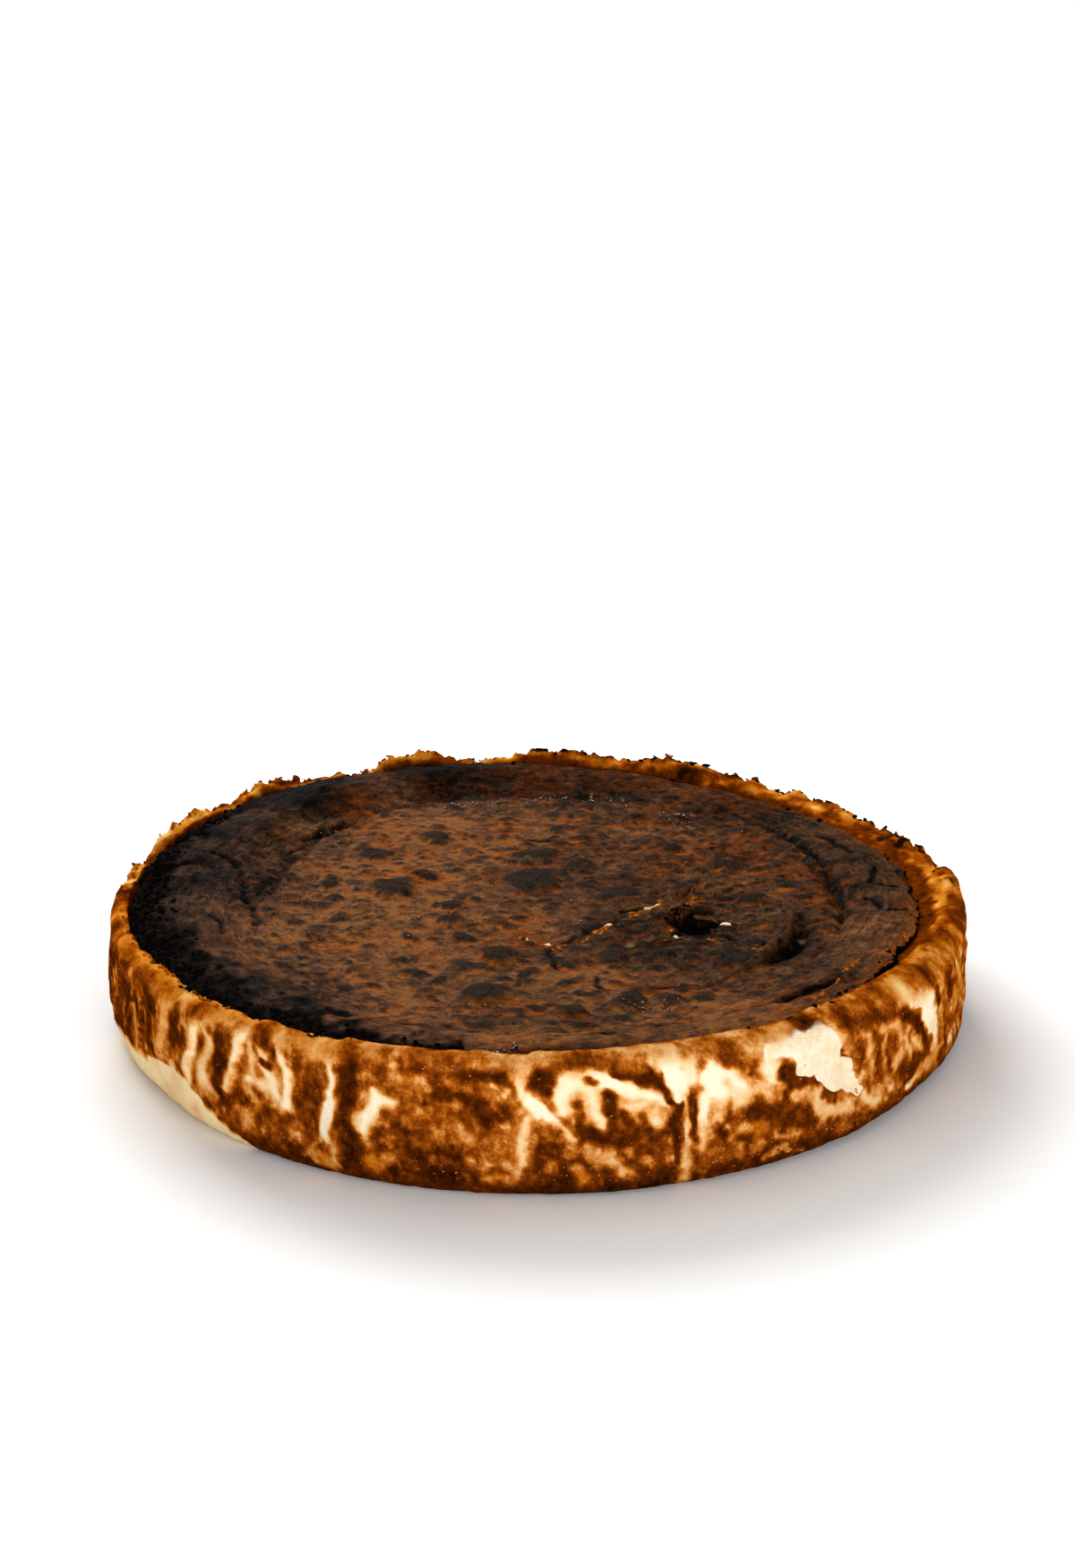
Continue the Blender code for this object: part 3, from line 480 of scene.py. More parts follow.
def hidden_folds():
    """Folds of the side that faces away, drawn from a seeded rule like those in front."""
    draw = np.random.default_rng(11)
    pitch = (HIDDEN_FOLDS_TO - HIDDEN_FOLDS_FROM) / HIDDEN_FOLDS
    found = []
    for number in range(HIDDEN_FOLDS):
        foot = HIDDEN_FOLDS_FROM + pitch * (number + draw.uniform(0.1, 0.9))
        top = foot + draw.uniform(-4.0, 4.0)
        low, high = draw.uniform(3.0, 14.0), draw.uniform(30.0, 38.0)
        found.append((foot, top, low, high, draw.uniform(0.8, 1.9), draw.uniform(4.0, 8.0)))
    return tuple(found)


def each_fold(bearing, height):
    """For every fold: its step, its reach, the way round from it, and its strength at that height."""
    fade = 4.0 * MM
    for foot, top, low, high, step, reach in FOLDS + hidden_folds():
        share = (height - low * MM) / ((high - low) * MM)
        arc = np.radians(turned(bearing - mix(foot, top, share))) * WALL_RADIUS
        ends = ease((height - low * MM) / fade) * ease((high * MM - height) / fade)
        yield step, reach * MM, arc, ends


def fold_relief(bearing, height):
    """How far the side stands out at the steps that the paper's folds left."""
    sharp = 0.7 * MM
    relief = np.zeros(np.broadcast(bearing, height).shape)
    for step, reach, arc, ends in each_fold(bearing, height):
        rise = np.exp(np.minimum(arc, 0.0) / reach) * ease((sharp - arc) / sharp)
        relief = relief + step * MM * ends * rise
    return relief


def circle(radius, bearing):
    """x and y at a radius and bearing."""
    angle = np.radians(bearing)
    return radius * np.sin(angle), -radius * np.cos(angle)


def smooth_rim_height(bearing):
    """Height of the crust's rim with its breaks, but without its crags."""
    height = around(RIM_HEIGHT, bearing)
    for place, half_width, change in RIM_BREAKS:
        height = height + change * MM * np.exp(-((turned(bearing - place) / half_width) ** 4))
    return height


def flat_layers(x, y, *rows):
    return layers((x, y, 0 * x), *rows)


def bearing_of(x, y):
    return np.degrees(np.arctan2(x, -y))


def close_to(bearing, place, width, most=1.6):
    """1 near a bearing, fading to 0 away from it."""
    return ease(most - np.abs(turned(bearing - place)) / width)


def drawn_round(radius, angle, wide):
    """A point for noise that is drawn out round the cake."""
    return radius, wide * np.sin(angle), wide * np.cos(angle)


def rim_height(bearing):
    """Height of the crust's ragged rim."""
    x, y = circle(WALL_RADIUS, bearing)
    crags = flat_layers(x, y, (1.0, 9.0, 3), (0.8, 4.0, 4))
    thin = np.clip((5.0 * MM - around(RIM_ROUND, bearing)) / (3.0 * MM), 0.15, 1.0)
    splinters = thin * flat_layers(x, y, (0.7, 1.9, 31), (0.5, 1.0, 32))
    ragged = around(RIM_RAGGED, bearing) * 0.7 * (mix(0.6, 1.0, thin) * crags + splinters)
    return smooth_rim_height(bearing) + ragged


def strokes(base, bearing, height, marks):
    """Lays marks of the browning over a base tone, their edges wavering."""
    points = (*circle(WALL_RADIUS, bearing), height)
    shift, lift = (MM * layers(points, (1.2, 5.0, seed), (0.6, 2.2, seed + 1)) for seed in (41, 43))
    swell = 1.0 + layers(points, (0.4, 3.6, 101), (0.25, 1.9, 102))
    tone = base
    for start, low, end, high, half, value, soft in marks:
        run_x, run_z = np.radians(end - start) * WALL_RADIUS, (high - low) * MM
        from_x = np.radians(turned(bearing - start)) * WALL_RADIUS + shift
        from_z = height - low * MM + lift
        length = run_x**2 + run_z**2 + TINY
        reach = np.clip((from_x * run_x + from_z * run_z) / length, 0.0, 1.0)
        gap = np.hypot(from_x - reach * run_x, from_z - reach * run_z)
        tone = mix(tone, value, ease((half * MM * swell - gap) / (max(soft, SHARPEST) * MM) + 0.5))
    return tone


def haloes(marks):
    """A wide toasted edge for every soft pale mark, to be laid before the marks."""
    return [(*line, half + HALO_WIDTH, max(HALO_TONE, tone + 0.1), HALO_SOFT)
            for *line, half, tone, soft in marks if tone < PALEST_WITHOUT_HALO and soft > SHARPEST_WITH_HALO]


def browning(base, bearing, height):
    """Lays every mark of the browning over a base tone."""
    marks = MARKS + hidden_marks()
    return strokes(strokes(base, bearing, height, haloes(marks)), bearing, height, marks)


def hidden_marks():
    """Marks of the side that faces away, drawn from a seeded rule like those in front."""
    draw = np.random.default_rng(23)
    found = []
    for _ in range(HIDDEN_MARKS):
        start, low = draw.uniform(84.0, 276.0), draw.uniform(5.0, 36.0)
        lean, rise = draw.normal(0.0, 1.6), draw.uniform(2.0, 13.0)
        tone = draw.choice(HIDDEN_TONES)
        high = min(low + rise, 38.0)
        found.append((start, low, start + lean, high, draw.uniform(0.6, 2.2), tone, draw.uniform(1.8, 4.2)))
    return tuple(found)


def bareness(bearing, height):
    """1 where the cream shows bare, 0 elsewhere."""
    return strokes(np.zeros(np.shape(height)), bearing, height, BARE_MARKS)


def wall_radius(bearing, height):
    """Radius of the side between its two rounded edges."""
    smooth = WALL_RADIUS + around(OUTLINE_SWELL, bearing)
    points = (*circle(smooth, bearing), height)
    uneven = MM * layers(points, (0.7, 22.0, 5), (0.35, 9.0, 6), (0.12, 3.2, 33), (0.07, 1.5, 34))
    return smooth + uneven + fold_relief(bearing, height) - BARE_DEPTH * bareness(bearing, height)


def lower_edge(bearing, turn):
    """Radius and height on the rounded lower edge, from the underside at 0 to the side at 1."""
    low = around(BASE_RADIUS, bearing)
    angle = turn * np.pi / 2
    height = around(EDGE_HEIGHT, bearing) * (1.0 - np.cos(angle))
    crumbs = 0.35 * MM * np.sin(np.pi * min(turn + 0.15, 1.0)) * flat_lumps(*circle(low, bearing), 2.4, 35)
    return mix(low, wall_radius(bearing, height), np.sin(angle)) + crumbs, height


def side(bearing, share):
    """Radius and height on the side, from the lower edge at 0 to the rim at 1."""
    low = around(EDGE_HEIGHT, bearing)
    high = rim_height(bearing) - around(RIM_ROUND, bearing)
    height = mix(low, high, share)
    return wall_radius(bearing, height), height


def rim(bearing, turn):
    """Radius and height over the rim, from the side at 0 to the rim's crest at 1."""
    bend = around(RIM_ROUND, bearing)
    start_radius, start_height = side(bearing, 1.0)
    angle = turn * np.pi / 2
    return start_radius - bend * (1.0 - np.cos(angle)), start_height + bend * np.sin(angle)


def dish_radius(bearing):
    """Radius at which the dish meets the shoulder."""
    x, y = circle(1.0, bearing)
    x_part, y_part = x / DISH_HALF_WIDTH, y / DISH_HALF_DEPTH
    square = x_part**2 + y_part**2
    lean = x_part * DISH_CENTRE[0] / DISH_HALF_WIDTH + y_part * DISH_CENTRE[1] / DISH_HALF_DEPTH
    return (lean + np.sqrt(lean**2 + square)) / square


def shoulder_share(x, y):
    """0 at the dish's edge and 1 at the skin's edge."""
    bearing = bearing_of(x, y)
    dish = dish_radius(bearing)
    return (np.hypot(x, y) - dish) / (around(SKIN_RADIUS, bearing) - dish)


def on_shoulder(x, y):
    """0 in the dish and 1 on the shoulder, with a soft turn between."""
    return ease(shoulder_share(x, y) / 0.3 + 0.4)


def shoulder_and_dish(x, y):
    """Height of the skin without its blisters and cracks."""
    bearing = bearing_of(x, y)
    crest = around(SKIN_HEIGHT, bearing)
    share = shoulder_share(x, y)
    dish_share = np.minimum(np.hypot(x, y) / dish_radius(bearing), 1.0)
    inside = mix(DISH_FLOOR_HEIGHT, DISH_EDGE_HEIGHT, dish_share**3)
    rise = ease(share / CREST_SHARE) * (crest - DISH_EDGE_HEIGHT)
    fall = np.clip((share - CREST_SHARE) / (1.0 - CREST_SHARE), 0.0, 1.0) ** 2 * LEDGE_DROP
    return inside + rise - fall


def domes(x, y, blisters):
    """Height of domed blisters, and how dark their tops are from 0 to 1."""
    ripple, fine = flat_lumps(x, y, 4.5, 8), flat_lumps(x, y, 1.6, 36)
    bend_x, bend_y = (axis + 2.0 * MM * flat_lumps(x, y, 6.5, seed) for axis, seed in ((x, 82), (y, 83)))
    relief = dark = np.zeros(np.shape(x))
    for across, deep, radius, height in blisters:
        reach = np.hypot(bend_x - across * MM, bend_y - deep * MM) / (radius * MM)
        dome = np.clip(1.0 - (reach + 0.12 * ripple) ** 2, 0.0, 1.0) ** DOME_POWER
        relief = np.maximum(relief, height * MM * dome)
        dark = np.maximum(dark, ease((1.15 - reach - 0.2 * ripple - 0.12 * fine) / 0.7))
    return relief, dark


def blister_mask(x, y):
    """The large blisters, which the solid has too: height and darkness."""
    return domes(x, y, [(*place, size, BLISTER_SWELL * tall) for *place, size, tall in BLISTERS])


def mid_blisters(x, y):
    """The middling blisters: height and darkness."""
    return domes(x, y, [(*spot, MID_BLISTER_HEIGHT) for spot in MID_BLISTERS])


def small_blisters(x, y):
    """The many small blisters, which thin out towards the shoulder: height and darkness."""
    bend_x, bend_y = (axis + 1.0 * MM * flat_lumps(x, y, 2.6, seed) for axis, seed in ((x, 45), (y, 46)))
    room = 1.0 - 0.85 * ease((shoulder_share(x, y) - 0.05) / 0.4)
    relief = dark = np.zeros(np.shape(x))
    for size, seed, tall, most in SMALL_BLISTERS:
        gap, number = spots(bend_x * 0.85, bend_y, size, seed)
        radius = most * np.where(number > FEWER_BLISTERS, mix(0.45, 1.0, number), 0.0)
        shown = radius > 0.1
        dome = np.clip(1.0 - (gap / (radius + 0.03)) ** 2, 0.0, 1.0) ** DOME_POWER * shown
        relief = np.maximum(relief, tall * MM * dome * room)
        depth = 0.4 + 0.6 * ((number * 7.0) % 1.0)
        dark = np.maximum(dark, depth * ease((1.2 - gap / (radius + 0.03)) / 0.8) * shown * room)
    return relief, dark


def all_blisters(x, y):
    """How dark the blisters of every size make the skin, from 0 to 1."""
    large, middling, small = (rule(x, y)[1] for rule in (blister_mask, mid_blisters, small_blisters))
    return np.maximum(large, np.maximum(0.95 * middling, 0.8 * small))


def valleys(x, y):
    """The orange hollows in front of the blisters, from 0 to 1: partly caramelised skin, partly painted light
    on the side that faces the front.
    """
    behind = all_blisters(x, y + 2.4 * MM)
    return np.clip(behind - all_blisters(x, y), 0.0, 1.0)


def groove(x, y, cracks, waver):
    """Depth of cracks, and how deep in one a point is from 0 to 1."""
    relief = inside = np.zeros(np.shape(x))
    for *line, width, depth in cracks:
        gap, along = bow(line, x, y)
        ends = ease(along * 6.0) * ease((1.0 - along) * 6.0)
        cut = ends * np.exp(-(((gap + waver) / (width * MM)) ** 2))
        relief = relief + depth * MM * cut
        inside = np.maximum(inside, cut)
    return relief, inside


def large_cracks(x, y):
    return groove(x, y, CRACKS, 1.2 * MM * flat_lumps(x, y, 7.0, 9))


def fine_cracks(x, y):
    return groove(x, y, FINE_CRACKS, 0.8 * MM * flat_lumps(x, y, 4.0, 54))


def dish_crease(x, y):
    """How deep in the fold round the dish a point is, from 0 to 1."""
    bearing = bearing_of(x, y)
    waver = MM * flat_layers(x, y, (1.6, 9.0, 59), (0.7, 3.0, 60))
    gap = np.hypot(x, y) - dish_radius(bearing) - 1.0 * MM + waver
    broken = ease(0.75 + 1.6 * flat_lumps(x, y, 8.0, 95))
    return np.exp(-((gap / (0.85 * MM)) ** 2)) * broken * np.clip(curve_round(CREASE, bearing), 0.0, 1.0)


def hole_gap(x, y):
    """Distance from the middle of the torn hole, 1 at its edge, with its parts across and deep."""
    across = (x - HOLE_CENTRE[0]) / HOLE_HALF_WIDTH
    deep = (y - HOLE_CENTRE[1]) / HOLE_HALF_LENGTH
    return np.hypot(across, deep) + flat_layers(x, y, (0.25, 4.0, 10), (0.12, 1.7, 37)), across, deep


def hole_relief(x, y):
    """The torn hole with its raised lip."""
    gap, across, deep = hole_gap(x, y)
    lip = HOLE_LIP * np.exp(-(((gap - 1.15) / 0.3) ** 2)) * ease((0.9 * deep - across + 0.6) / 1.2)
    crumb = 0.5 * MM * flat_lumps(x, y, 1.4, 38) * ease((1.05 - gap) / 0.3)
    return lip + crumb - HOLE_DEPTH * ease((1.1 - gap) / 0.35)


def wrinkle_relief(x, y):
    """The thick wrinkle, and the deep crease along its outer side, also as a share from 0 to 1."""
    gap, along = bow(WRINKLE, x, y)
    gap = gap + 0.5 * MM * flat_lumps(x, y, 5.0, 39)
    ends = ease(along * 4.0) * ease((1.0 - along) * 2.2)
    ridge = 0.45 * WRINKLE_HEIGHT * np.exp(-((gap / (0.72 * WRINKLE_WIDTH)) ** 2))
    behind = (gap - 1.45 * WRINKLE_WIDTH) / (0.85 * WRINKLE_WIDTH)
    crease = np.exp(-(behind**2)) * ease(1.0 - abs(along - 0.45) * 3.0)
    return ends * ridge - 1.2 * WRINKLE_CREASE_DEPTH * crease, crease


def rounded_wrinkles(x, y):
    """Fine wrinkles that run round the shoulder, and short ones in the dish."""
    lengthwise = drawn_round(np.hypot(x, y), np.arctan2(x, -y), 0.07)
    waves = layers(lengthwise, (0.42, 2.8, 47), (0.26, 1.6, 48))
    puckers = layers((0.55 * x, y, 0 * x), (0.34, 2.8, 49), (0.2, 1.6, 50))
    shoulder = on_shoulder(x, y)
    return MM * (waves * shoulder + puckers * mix(0.8, 0.5, shoulder))


def skin_height(x, y):
    """Height of the dark skin with its large forms, as the solid has it."""
    rolling = 0.5 * MM * flat_lumps(x, y, 14.0, 7)
    relief = blister_mask(x, y)[0] + hole_relief(x, y) + wrinkle_relief(x, y)[0]
    return shoulder_and_dish(x, y) + rolling + relief - large_cracks(x, y)[0]


def fine_skin_height(x, y):
    """The same with the small blisters, fine cracks and wrinkles."""
    clear = 1.0 - 0.8 * blister_mask(x, y)[1]
    domed = np.maximum(small_blisters(x, y)[0], mid_blisters(x, y)[0])
    chunks = char_band(x, y) * MM * flat_layers(x, y, (1.0, 2.8, 76), (0.6, 1.4, 77))
    lines = fine_cracks(x, y)[0] + 1.1 * MM * dish_crease(x, y)
    return skin_height(x, y) + domed * clear + rounded_wrinkles(x, y) + chunks - lines


def skin_edge(bearing):
    """Radius of the skin's broken edge in its large form."""
    radius = around(SKIN_RADIUS, bearing)
    return radius + 1.1 * MM * flat_lumps(*circle(radius, bearing), 8.0, 12)


def torn_skin_edge(bearing):
    """The same with its fine tears."""
    radius = skin_edge(bearing)
    return radius + MM * flat_layers(*circle(radius, bearing), (0.85, 3.2, 55), (0.55, 1.5, 56))


def ledge(bearing, share):
    """Radius and height on the ledge, from the rim's crest at 0 to the foot of the skin at 1."""
    crest_radius, crest_height = rim(bearing, 1.0)
    foot_radius = skin_edge(bearing) + 0.6 * MM
    foot_height = skin_height(*circle(foot_radius, bearing)) - SKIN_STEP
    radius = mix(crest_radius - 1.2 * MM * min(share * 6.0, 1.0), foot_radius, share)
    swell = MM * flat_layers(*circle(radius, bearing), (0.5, 9.0, 13), (0.25, 4.0, 57), (0.14, 1.6, 58))
    gutter = around(GUTTER_DEPTH, bearing) * ease((share - 0.45) / 0.5)
    calm = mix(crest_height, smooth_rim_height(bearing), ease(share / 0.3))
    return radius, mix(calm, foot_height, ease(share)) + swell * np.sin(np.pi * share) - gutter


def under_skin(bearing, share):
    """The body's hidden floor, from the foot of the skin at 0 to a level well under it at 1."""
    radius, height = ledge(bearing, 1.0)
    return radius - 9.0 * MM * share, mix(height, BODY_FLOOR, ease(share))


def bearings(count):
    return np.arange(count) * 360.0 / count


def in_rows(*columns):
    """One row for each point, from columns of which some may be one number."""
    return np.stack(np.broadcast_arrays(*columns), 1)


def stack_faces(counts, centre_first, centre_last):
    """Faces that join rings of points, each as long as the one before it, half or twice as long.
    They point to the left of the way from ring to ring, seen from outside."""
    starts = np.concatenate([[int(centre_first)], int(centre_first) + np.cumsum(counts)])
    quads, triangles = [], []
    for row, (lower, upper) in enumerate(zip(counts, counts[1:])):
        number = np.arange(max(lower, upper))
        more = (number + 1) % max(lower, upper)
        fine, coarse = (starts[row], starts[row + 1]) if lower >= upper else (starts[row + 1], starts[row])
        ratio = max(lower, upper) // min(lower, upper)
        near, far = number // ratio, (number + 1) // ratio % min(lower, upper)
        corners = in_rows(fine + number, fine + more, coarse + far, coarse + near)
        corners = corners if lower >= upper else corners[:, ::-1]
        whole = (near != far) if ratio > 1 else np.ones(len(number), bool)
        quads.append(corners[whole])
        if ratio > 1:
            keep = (0, 1, 2) if lower >= upper else (1, 2, 3)
            triangles.append(corners[~whole][:, keep])
    for wanted, start, count, centre, order in (
            (centre_first, starts[0], counts[0], 0, (2, 1, 0)),
            (centre_last, starts[-2], counts[-1], starts[-1], (0, 1, 2))):
        if wanted:
            number = np.arange(count)
            triangles.append(in_rows(start + number, start + (number + 1) % count, centre)[:, order])
    return [list(face) for group in quads + triangles for face in group.tolist()]


def link(name, data):
    """Puts a new object that holds the data in the scene."""
    made = bpy.data.objects.new(name, data)
    bpy.context.scene.collection.objects.link(made)
    return made


def new_piece(name, points, faces, material):
    mesh = bpy.data.meshes.new(name)
    mesh.from_pydata(np.asarray(points).tolist(), [], faces)
    mesh.materials.append(material)
    mesh.shade_smooth()
    mesh.validate()
    return link(name, mesh)


def evaluated_mesh(piece):
    """A mesh of its own of the piece as its modifiers make it."""
    bpy.context.view_layer.update()
    return bpy.data.meshes.new_from_object(piece.evaluated_get(bpy.context.evaluated_depsgraph_get()))


def write_fields(piece, **fields):
    """Stores numbers for each point, or one for all of them, which the materials read by name."""
    for name, values in fields.items():
        values = np.broadcast_to(np.asarray(values, np.float32), len(piece.data.vertices))
        piece.data.attributes.new(name, "FLOAT", "POINT").data.foreach_set("value", values.copy())


def join_rings(rings, first_centre=None, last_centre=None):
    """Points of a stack of rings of (x, y, z) rows, its faces, and each point's ring number."""
    parts = [in_rows(*ring) for ring in rings]
    counts = [len(part) for part in parts]
    number = [np.full(count, row) for row, count in enumerate(counts)]
    if first_centre is not None:
        parts.insert(0, np.array([first_centre]))
        number.insert(0, np.zeros(1))
    if last_centre is not None:
        parts.append(np.array([last_centre]))
        number.append(np.full(1, len(rings) - 1))
    faces = stack_faces(counts, first_centre is not None, last_centre is not None)
    return np.concatenate(parts), faces, np.concatenate(number)


def settle(piece):
    """Puts a finished piece on the cake's body."""
    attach(piece, "root")
    return piece


def body_outline(size):
    """Rings from the underside's middle up over the rim and under the skin, with their stations."""
    full = size.segments
    rings, stations = [], []

    def lay(radius, height, bearing, station):
        x, y = circle(radius, bearing)
        rings.append((x, y, height + 0 * x))
        stations.append(station)

    for share, parts in ((0.12, 32), (0.3, 16), (0.5, 8), (0.68, 4), (0.82, 2), (0.92, 1), (0.975, 1)):
        bearing = bearings(full // parts)
        lay(around(BASE_RADIUS, bearing) * share, 0.0, bearing, -1.0)
    bearing = bearings(full)
    for step in range(size.edge_rows + 1):
        turn = step / size.edge_rows
        lay(*lower_edge(bearing, turn), bearing, turn - 1.0)
    for station, (rule, steps) in enumerate((
            (side, size.wall_rows), (rim, size.rim_rows), (ledge, size.ledge_rows))):
        for step in range(1, steps + 1):
            lay(*rule(bearing, step / steps), bearing, station + step / steps)
    for share, parts in ((0.25, 1), (0.6, 2), (1.0, 4)):
        bearing = bearings(full // parts)
        lay(*under_skin(bearing, share), bearing, 3.0 + share)
    for share, parts in ((0.7, 8), (0.4, 16), (0.15, 32)):
        bearing = bearings(full // parts)
        radius, height = under_skin(bearing, 1.0)
        lay(radius * share, height, bearing, 4.0)
    return rings, np.array(stations)


def freckles(bearing, height):
    """Scattered round mottles on the side, from 0 to 1."""
    x, y = circle(WALL_RADIUS, bearing)
    points = (x, y, height)
    arc = np.radians(turned(bearing)) * WALL_RADIUS + 0.8 * MM * lumps(points, 2.2 * MM, 91)
    level = height + 0.8 * MM * lumps(points, 2.2 * MM, 92)
    pale = np.zeros(np.shape(height))
    for size, seed, most in ((5.4, 93, 0.42), (3.4, 94, 0.42)):
        gap, number = spots(arc, level, size, seed)
        radius = most * ease((number - 0.35) / 0.6)
        pale = np.maximum(pale, ease((radius - gap) / 0.22 + 0.4) * (radius > 0.05))
    return pale


def body_tones(bearing, height, radius, station):
    """How brown, amber and burnt each point of the body is, from 0 to 1."""
    points = (*circle(WALL_RADIUS, bearing), height)
    tone = 0.70 + layers(points, (0.24, 12.0, 61), (0.26, 5.0, 62))
    tone = np.clip(tone, 0.46, 0.92) - 0.24 * freckles(bearing, height)
    tone = tone - 0.13 * close_to(bearing, 80.0, 20.0)
    # Darker towards the bottom of the side: partly the crust's own browning at the base, partly painted shadow
    # where it meets the table
    foot = ease(1.0 - (height - 2.0 * MM) / (7.0 * MM) + 0.5 * lumps(points, 4.0 * MM, 96))
    tone = mix(tone, 0.90, 0.75 * foot)
    # Beside each fold's step the raised edge turns paler and the lower side darker; the dark strip is painted
    # shade in the lee of the step
    for step, _, arc, ends in each_fold(bearing, height):
        pale = np.exp(np.minimum(arc, 0.0) / (1.5 * MM)) * (arc < 0.3 * MM) * ends
        dark = np.exp(-np.maximum(arc, 0.0) / (2.4 * MM)) * (arc > 0.0) * ends
        if step < 0.0:
            pale, dark = dark, pale
        tone = mix(mix(tone, 0.30, 0.7 * pale), 0.88, 0.7 * dark)
    tone = browning(tone, bearing, height)
    bevel = np.interp(turned(bearing), *zip(*BEVEL_LINE)) * MM
    above, waver = (bevel - height) / BEVEL_SOFT, 0.7 * MM / BEVEL_SOFT * lumps(points, 3.0 * MM, 63)
    cream = 0.04 + 0.16 * lumps(points, 6.0 * MM, 98)
    tone = mix(tone, cream, ease(above + waver + 0.5) * (bevel > 0.0))
    amber = curve_round(SIDE_AMBER, bearing) * ease((tone - 0.08) / 0.3)
    for place, level, size in AMBER_SPOTS:
        gap = np.hypot(np.radians(turned(bearing - place)) * WALL_RADIUS, height - level * MM)
        amber = np.maximum(amber, ease(1.3 - gap / (size * MM)))
    amber = np.maximum(amber, 0.55 * ease(above + 0.5) * (bevel > 0.0))
    return rim_tones(bearing, height, radius, station, tone, amber)


def rim_tones(bearing, height, radius, station, tone, amber):
    """Adds the tones of the rim and the ledge to those of the side."""
    points = (*circle(radius, bearing), height)
    band = around(RIM_ROUND, bearing) + 2.5 * MM
    up = ease((height - (rim_height(bearing) - band)) / band + 0.35 * lumps(points, 5.0 * MM, 64))
    up = np.maximum(up, station > 2.0)
    drawn = drawn_round(radius + height, np.radians(bearing), 0.06)
    rough = 1.0 - 0.2 * close_to(bearing, -45.0, 30.0, 1.5) - 0.6 * close_to(bearing, 4.0, 22.0)
    golden = curve_round(RIM_TONE, bearing) + rough * layers(drawn, (0.42, 5.0, 65), (0.26, 2.2, 66))
    front = np.clip(1.0 - np.abs(turned(bearing - 5.0)) / 70.0, 0.0, 1.0)
    keep = ease((0.3 - tone) / 0.2) * (station < 2.0) * (0.1 + 0.2 * front)
    tone = mix(tone, golden, up * (1.0 - keep))
    amber = np.maximum(amber, curve_round(RIM_AMBER, bearing) * up)
    crest_line = np.exp(-(((station - 1.95) / 0.13) ** 2)) * close_to(bearing, -62.0, 42.0, 1.2)
    tone = mix(tone, 0.24, 0.8 * crest_line * ease(0.8 + 1.4 * lumps(points, 4.0 * MM, 84)))
    left = close_to(bearing, -72.0, 24.0)
    # Towards the foot of the skin the ledge turns dark and amber: dark caramel in the gutter, partly painted
    # shade under the skin's edge
    shift = 0.3 * ease(1.6 * front) * (1.0 - left) + 0.2 * left + 0.25 * lumps(points, 3.0 * MM, 97)
    foot = ease((station - 2.3 + shift) / mix(0.5, 0.35, left))
    dark = 0.86 - 0.2 * np.clip(curve_round(EDGE_GLOW, bearing), 0.0, 1.0) + 0.06 * left
    tone = mix(tone, dark, foot * 0.95)
    amber = np.maximum(amber, 0.9 * foot)
    crest = around(RIM_HEIGHT, bearing) - 0.4 * MM
    tips = ease((height - crest) / (1.4 * MM) + 0.9 * lumps(points, 5.0 * MM, 67)) * (station > 0.9)
    burnt = tips * curve_round(TIP_BURN, bearing) * ease(0.6 + 1.8 * lumps(points, 9.0 * MM, 68))
    return tone, amber, burnt


def build_body(size, material):
    rings, stations = body_outline(size)
    floor = rings[-1][2].mean()
    points, faces, row = join_rings(rings, (0.0, 0.0, 0.0), (0.0, 0.0, floor))
    body = new_piece("cake_body", points, [face[::-1] for face in faces], material)
    x, y, height = points.T
    bearing = bearing_of(x, y)
    station = stations[row.astype(int)]
    tone, amber, burnt = body_tones(bearing, height, np.hypot(x, y), station)
    bare = bareness(bearing, height) * (station > -0.5) * ease((1.95 - station) / 0.5)
    write_fields(body, tone=tone, amber=amber, burnt=burnt, bare=bare)
    return body


def skin_thickness(bearing):
    return SKIN_STEP + around(GUTTER_DEPTH, bearing) + 0.5 * MM


def skin_outline(size):
    """Rings from the middle of the skin out to its torn edge, round it and back underneath."""
    full = size.segments
    rings = []
    radius, parts = size.skin_pitch, 64
    shares = []
    while radius < SKIN_REACH:
        while parts > 1 and 2 * math.pi * radius / (full / parts) > 1.3 * size.skin_pitch:
            parts //= 2
        shares.append((radius / SKIN_REACH, parts))
        radius += size.skin_pitch
    for share, parts in shares:
        bearing = bearings(full // parts)
        x, y = circle(torn_skin_edge(bearing) * share, bearing)
        rings.append((x, y, fine_skin_height(x, y)))
    bearing = bearings(full)
    edge = torn_skin_edge(bearing)
    top = fine_skin_height(*circle(edge, bearing))
    thick = skin_thickness(bearing)
    for inset, drop in ((0.25, 0.12), (0.0, 0.45), (0.05, 0.8), (0.5, 1.0)):
        rings.append((*circle(edge - inset * MM, bearing), top - drop * thick))
    for inset, drop, parts in ((3.0, 2.0, 1), (7.0, 6.0, 2), (20.0, 8.0, 4)):
        bearing = bearings(full // parts)
        x, y = circle(skin_edge(bearing) - inset * MM, bearing)
        rings.append((x, y, shoulder_and_dish(x, y) - drop * MM - skin_thickness(bearing)))
    for share, parts in ((0.6, 8), (0.4, 16), (0.2, 32)):
        bearing = bearings(full // parts)
        rings.append((*circle(skin_edge(bearing) * share, bearing), SKIN_UNDERSIDE))
    return rings, len(shares)


def washes(x, y, base, table, strength):
    """Soft round patches of a table laid one over another."""
    tone = np.full(np.shape(x), base)
    for across, deep, half_width, half_depth, value in table:
        reach = np.hypot((x - across * MM) / (half_width * MM), (y - deep * MM) / (half_depth * MM))
        tone = mix(tone, value, strength * ease(1.35 - reach))
    return tone


def skin_tones(x, y):
    """How warm a brown the skin has at each point, from 0 to 1."""
    return washes(x, y, 0.55, SKIN_TONES, 0.8) + flat_layers(x, y, (0.10, 16.0, 71), (0.08, 6.0, 72))


def edge_band(x, y, values):
    """The value of a table at a point's bearing, and how far inside the skin's edge the point is."""
    bearing = bearing_of(x, y)
    return curve_round(values, bearing), torn_skin_edge(bearing) - np.hypot(x, y)


